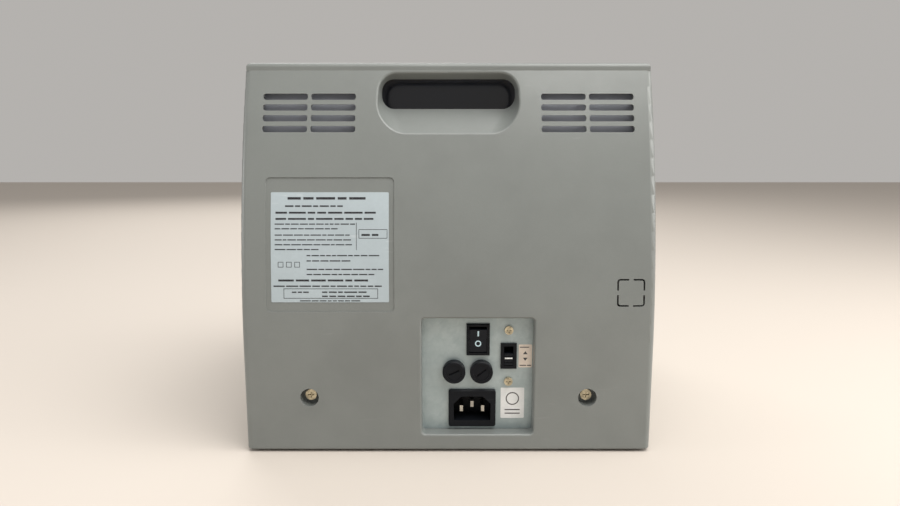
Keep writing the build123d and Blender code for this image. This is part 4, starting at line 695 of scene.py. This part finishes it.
# ---- Gap knob pointer ----
# A pale line is inlaid across the knob's top so that its setting can be read.
# It is a thin tapered strip with softened edges, and it turns with the knob.
knob_low, knob_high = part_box("gap_knob")
pointer_size = (0.0012, 0.0075, 0.0005)
pointer_out = 0.0055
pointer_sunk = 0.00020
pointer = bmesh.new()
bmesh.ops.create_cube(pointer, size=1.0)
bmesh.ops.scale(pointer, vec=pointer_size, verts=pointer.verts[:])
for vert in pointer.verts:
    if vert.co.y > 0:
        vert.co.x *= 0.5
bmesh.ops.bevel(pointer, geom=pointer.edges[:], offset=0.0001, offset_type="OFFSET", segments=2,
                profile=0.5, affect="EDGES", material=-1)
bmesh.ops.translate(pointer, verts=pointer.verts[:],
                    vec=((knob_low.x + knob_high.x) / 2,
                         (knob_low.y + knob_high.y) / 2 + pointer_out,
                         knob_high.z - pointer_sunk))
knob_pointer = make_object("knob_pointer", pointer)
knob_pointer.data.materials.append(ink("pointer_paint", (0.68, 0.69, 0.67), 0.45))
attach(knob_pointer, "gap_knob")

# ---- Shafts, bushes and steel details ----
# Shafts are ground bar with fine turning rings; bushes are turned brass, dark with oil.
# The retard bracket is folded zinc-plated sheet.


def turned(name, colour, rough, rings=(2600.0, 60.0, 60.0)):
    """Make a turned or ground bare metal with rings along its length."""
    material, shader = new_material(name)
    tree = material.node_tree
    place = tree.nodes.new("ShaderNodeTexCoord").outputs["Object"]
    stretch = tree.nodes.new("ShaderNodeMapping")
    stretch.inputs["Scale"].default_value = rings
    link(tree, place, stretch.inputs["Vector"])
    lines = noise(tree, stretch.outputs["Vector"], 1.0, 3.0)
    wear = use_group(tree, wear_group, Edge_Width=0.0004, Stain_Scale=60.0)
    toned = mix_colour(tree, lines, tuple(value * 0.8 for value in colour), colour)
    oiled = mix_colour(tree, maths(tree, "MULTIPLY", wear.outputs["Stain"], 0.3), toned,
                       tuple(value * 0.5 for value in colour))
    link(tree, oiled, shader.inputs["Base Color"])
    shader.inputs["Metallic"].default_value = 1.0
    link(tree, maths(tree, "ADD", rough, maths(tree, "MULTIPLY", lines, 0.2)),
         shader.inputs["Roughness"])
    bump = tree.nodes.new("ShaderNodeBump")
    bump.inputs["Distance"].default_value = 0.000008
    link(tree, lines, bump.inputs["Height"])
    link(tree, bump.outputs["Normal"], shader.inputs["Normal"])
    return material


ground_steel = turned("ground_steel", (0.58, 0.58, 0.60), 0.2)
dress(ground_steel, "tie_rods", "pickup_shaft", "feed_shaft", "transport_shaft", "stacker_shaft",
      "motor_pulley")
turned_brass = turned("turned_brass", (0.62, 0.46, 0.20), 0.26)
dress(turned_brass, "bearings")
bracket_zinc = zinc_plate("bracket_zinc", (0.62, 0.63, 0.60), (0.40, 0.41, 0.40), 0.32, 320.0)
dress(bracket_zinc, "retard_bracket")

# ---- Rollers, wheels, gears and belts ----
# Drive tyres are red-brown rubber, ground matt; the retard and fan wheels are dark rubber.
# Gears and pulleys are off-white nylon; belts are black neoprene.
drive_rubber = grained("drive_rubber", (0.27, 0.065, 0.035), (0.36, 0.16, 0.11), 0.7, 2600.0,
                       0.00006, 0.0005, 0.0, 0.75, 90.0)
dress(drive_rubber, "pickup_rollers", "feed_rollers", "transport_rollers")
retard_rubber = grained("retard_rubber", (0.19, 0.19, 0.20), (0.3, 0.3, 0.3), 0.75, 2600.0,
                        0.00006, 0.0005, 0.0, 0.8, 90.0)
dress(retard_rubber, "retard_rollers")
fan_rubber = grained("fan_rubber", (0.028, 0.028, 0.03), (0.11, 0.11, 0.11), 0.62, 2400.0,
                     0.00004, 0.0005, 0.0, 1.5, 60.0)
dress(fan_rubber, "stacker_wheels", "feet")
belt_rubber = grained("belt_rubber", (0.032, 0.032, 0.034), (0.10, 0.10, 0.10), 0.66, 2000.0,
                      0.00004, 0.0004, 0.0, 1.5, 80.0)
dress(belt_rubber, "drive_belts")
nylon = grained("nylon", (0.68, 0.66, 0.60), (0.78, 0.77, 0.72), 0.4, 1500.0, 0.00002, 0.0005,
                0.0, 0.84, 50.0)
dress(nylon, "guide_pinion", "pickup_pulley", "feed_pulley", "feed_gear", "transport_gear",
      "transport_pulley", "stacker_pulley", "pinch_rollers")

# ---- Motor, transformer, control board and fuses ----
# The motor can is dark painted steel and the transformer a varnished solid.
# The board is green laminate with copper tracks; the fuses are clear glass with grey haze.
motor_paint = grained("motor_paint", (0.065, 0.067, 0.073), (0.4, 0.41, 0.42), 0.4, 1000.0,
                      0.00004, 0.0008, 0.3, 1.3, 30.0)
dress(motor_paint, "drive_motor")
varnish = grained("transformer_varnish", (0.15, 0.07, 0.027), (0.34, 0.26, 0.18), 0.3, 500.0,
                  0.0001, 0.0008, 0.2, 0.6, 80.0, 0.4)
dress(varnish, "transformer")
board_green, shader = new_material("board_green")
tree = board_green.node_tree
place = tree.nodes.new("ShaderNodeTexCoord").outputs["Object"]
tracks = tree.nodes.new("ShaderNodeTexVoronoi")
tracks.feature = "F1"
tracks.distance = "MANHATTAN"
tracks.inputs["Scale"].default_value = 240.0
link(tree, place, tracks.inputs["Vector"])
tracked = mix_colour(tree, ramp(tree, tracks.outputs["Distance"], 0.3, 0.34),
                     (0.045, 0.21, 0.09), (0.018, 0.115, 0.05))
vias = ramp(tree, tracks.outputs["Distance"], 0.10, 0.12)
link(tree, mix_colour(tree, vias, (0.55, 0.52, 0.42), tracked), shader.inputs["Base Color"])
link(tree, maths(tree, "ADD", 0.3, maths(tree, "MULTIPLY", vias, 0.12)),
     shader.inputs["Roughness"])
shader.inputs["Coat Weight"].default_value = 0.3
dress(board_green, "control_board")
fuse_glass, shader = new_material("fuse_glass")
tree = fuse_glass.node_tree
shader.inputs["Transmission Weight"].default_value = 0.85
shader.inputs["IOR"].default_value = 1.47
wear = use_group(tree, wear_group, Edge_Width=0.0003, Stain_Scale=120.0)
link(tree, mix_colour(tree, wear.outputs["Stain"], (0.9, 0.93, 0.93), (0.74, 0.77, 0.77)),
     shader.inputs["Base Color"])
link(tree, maths(tree, "ADD", 0.05, maths(tree, "MULTIPLY", wear.outputs["Stain"], 0.2)),
     shader.inputs["Roughness"])
dress(fuse_glass, "fuse_left", "fuse_right")
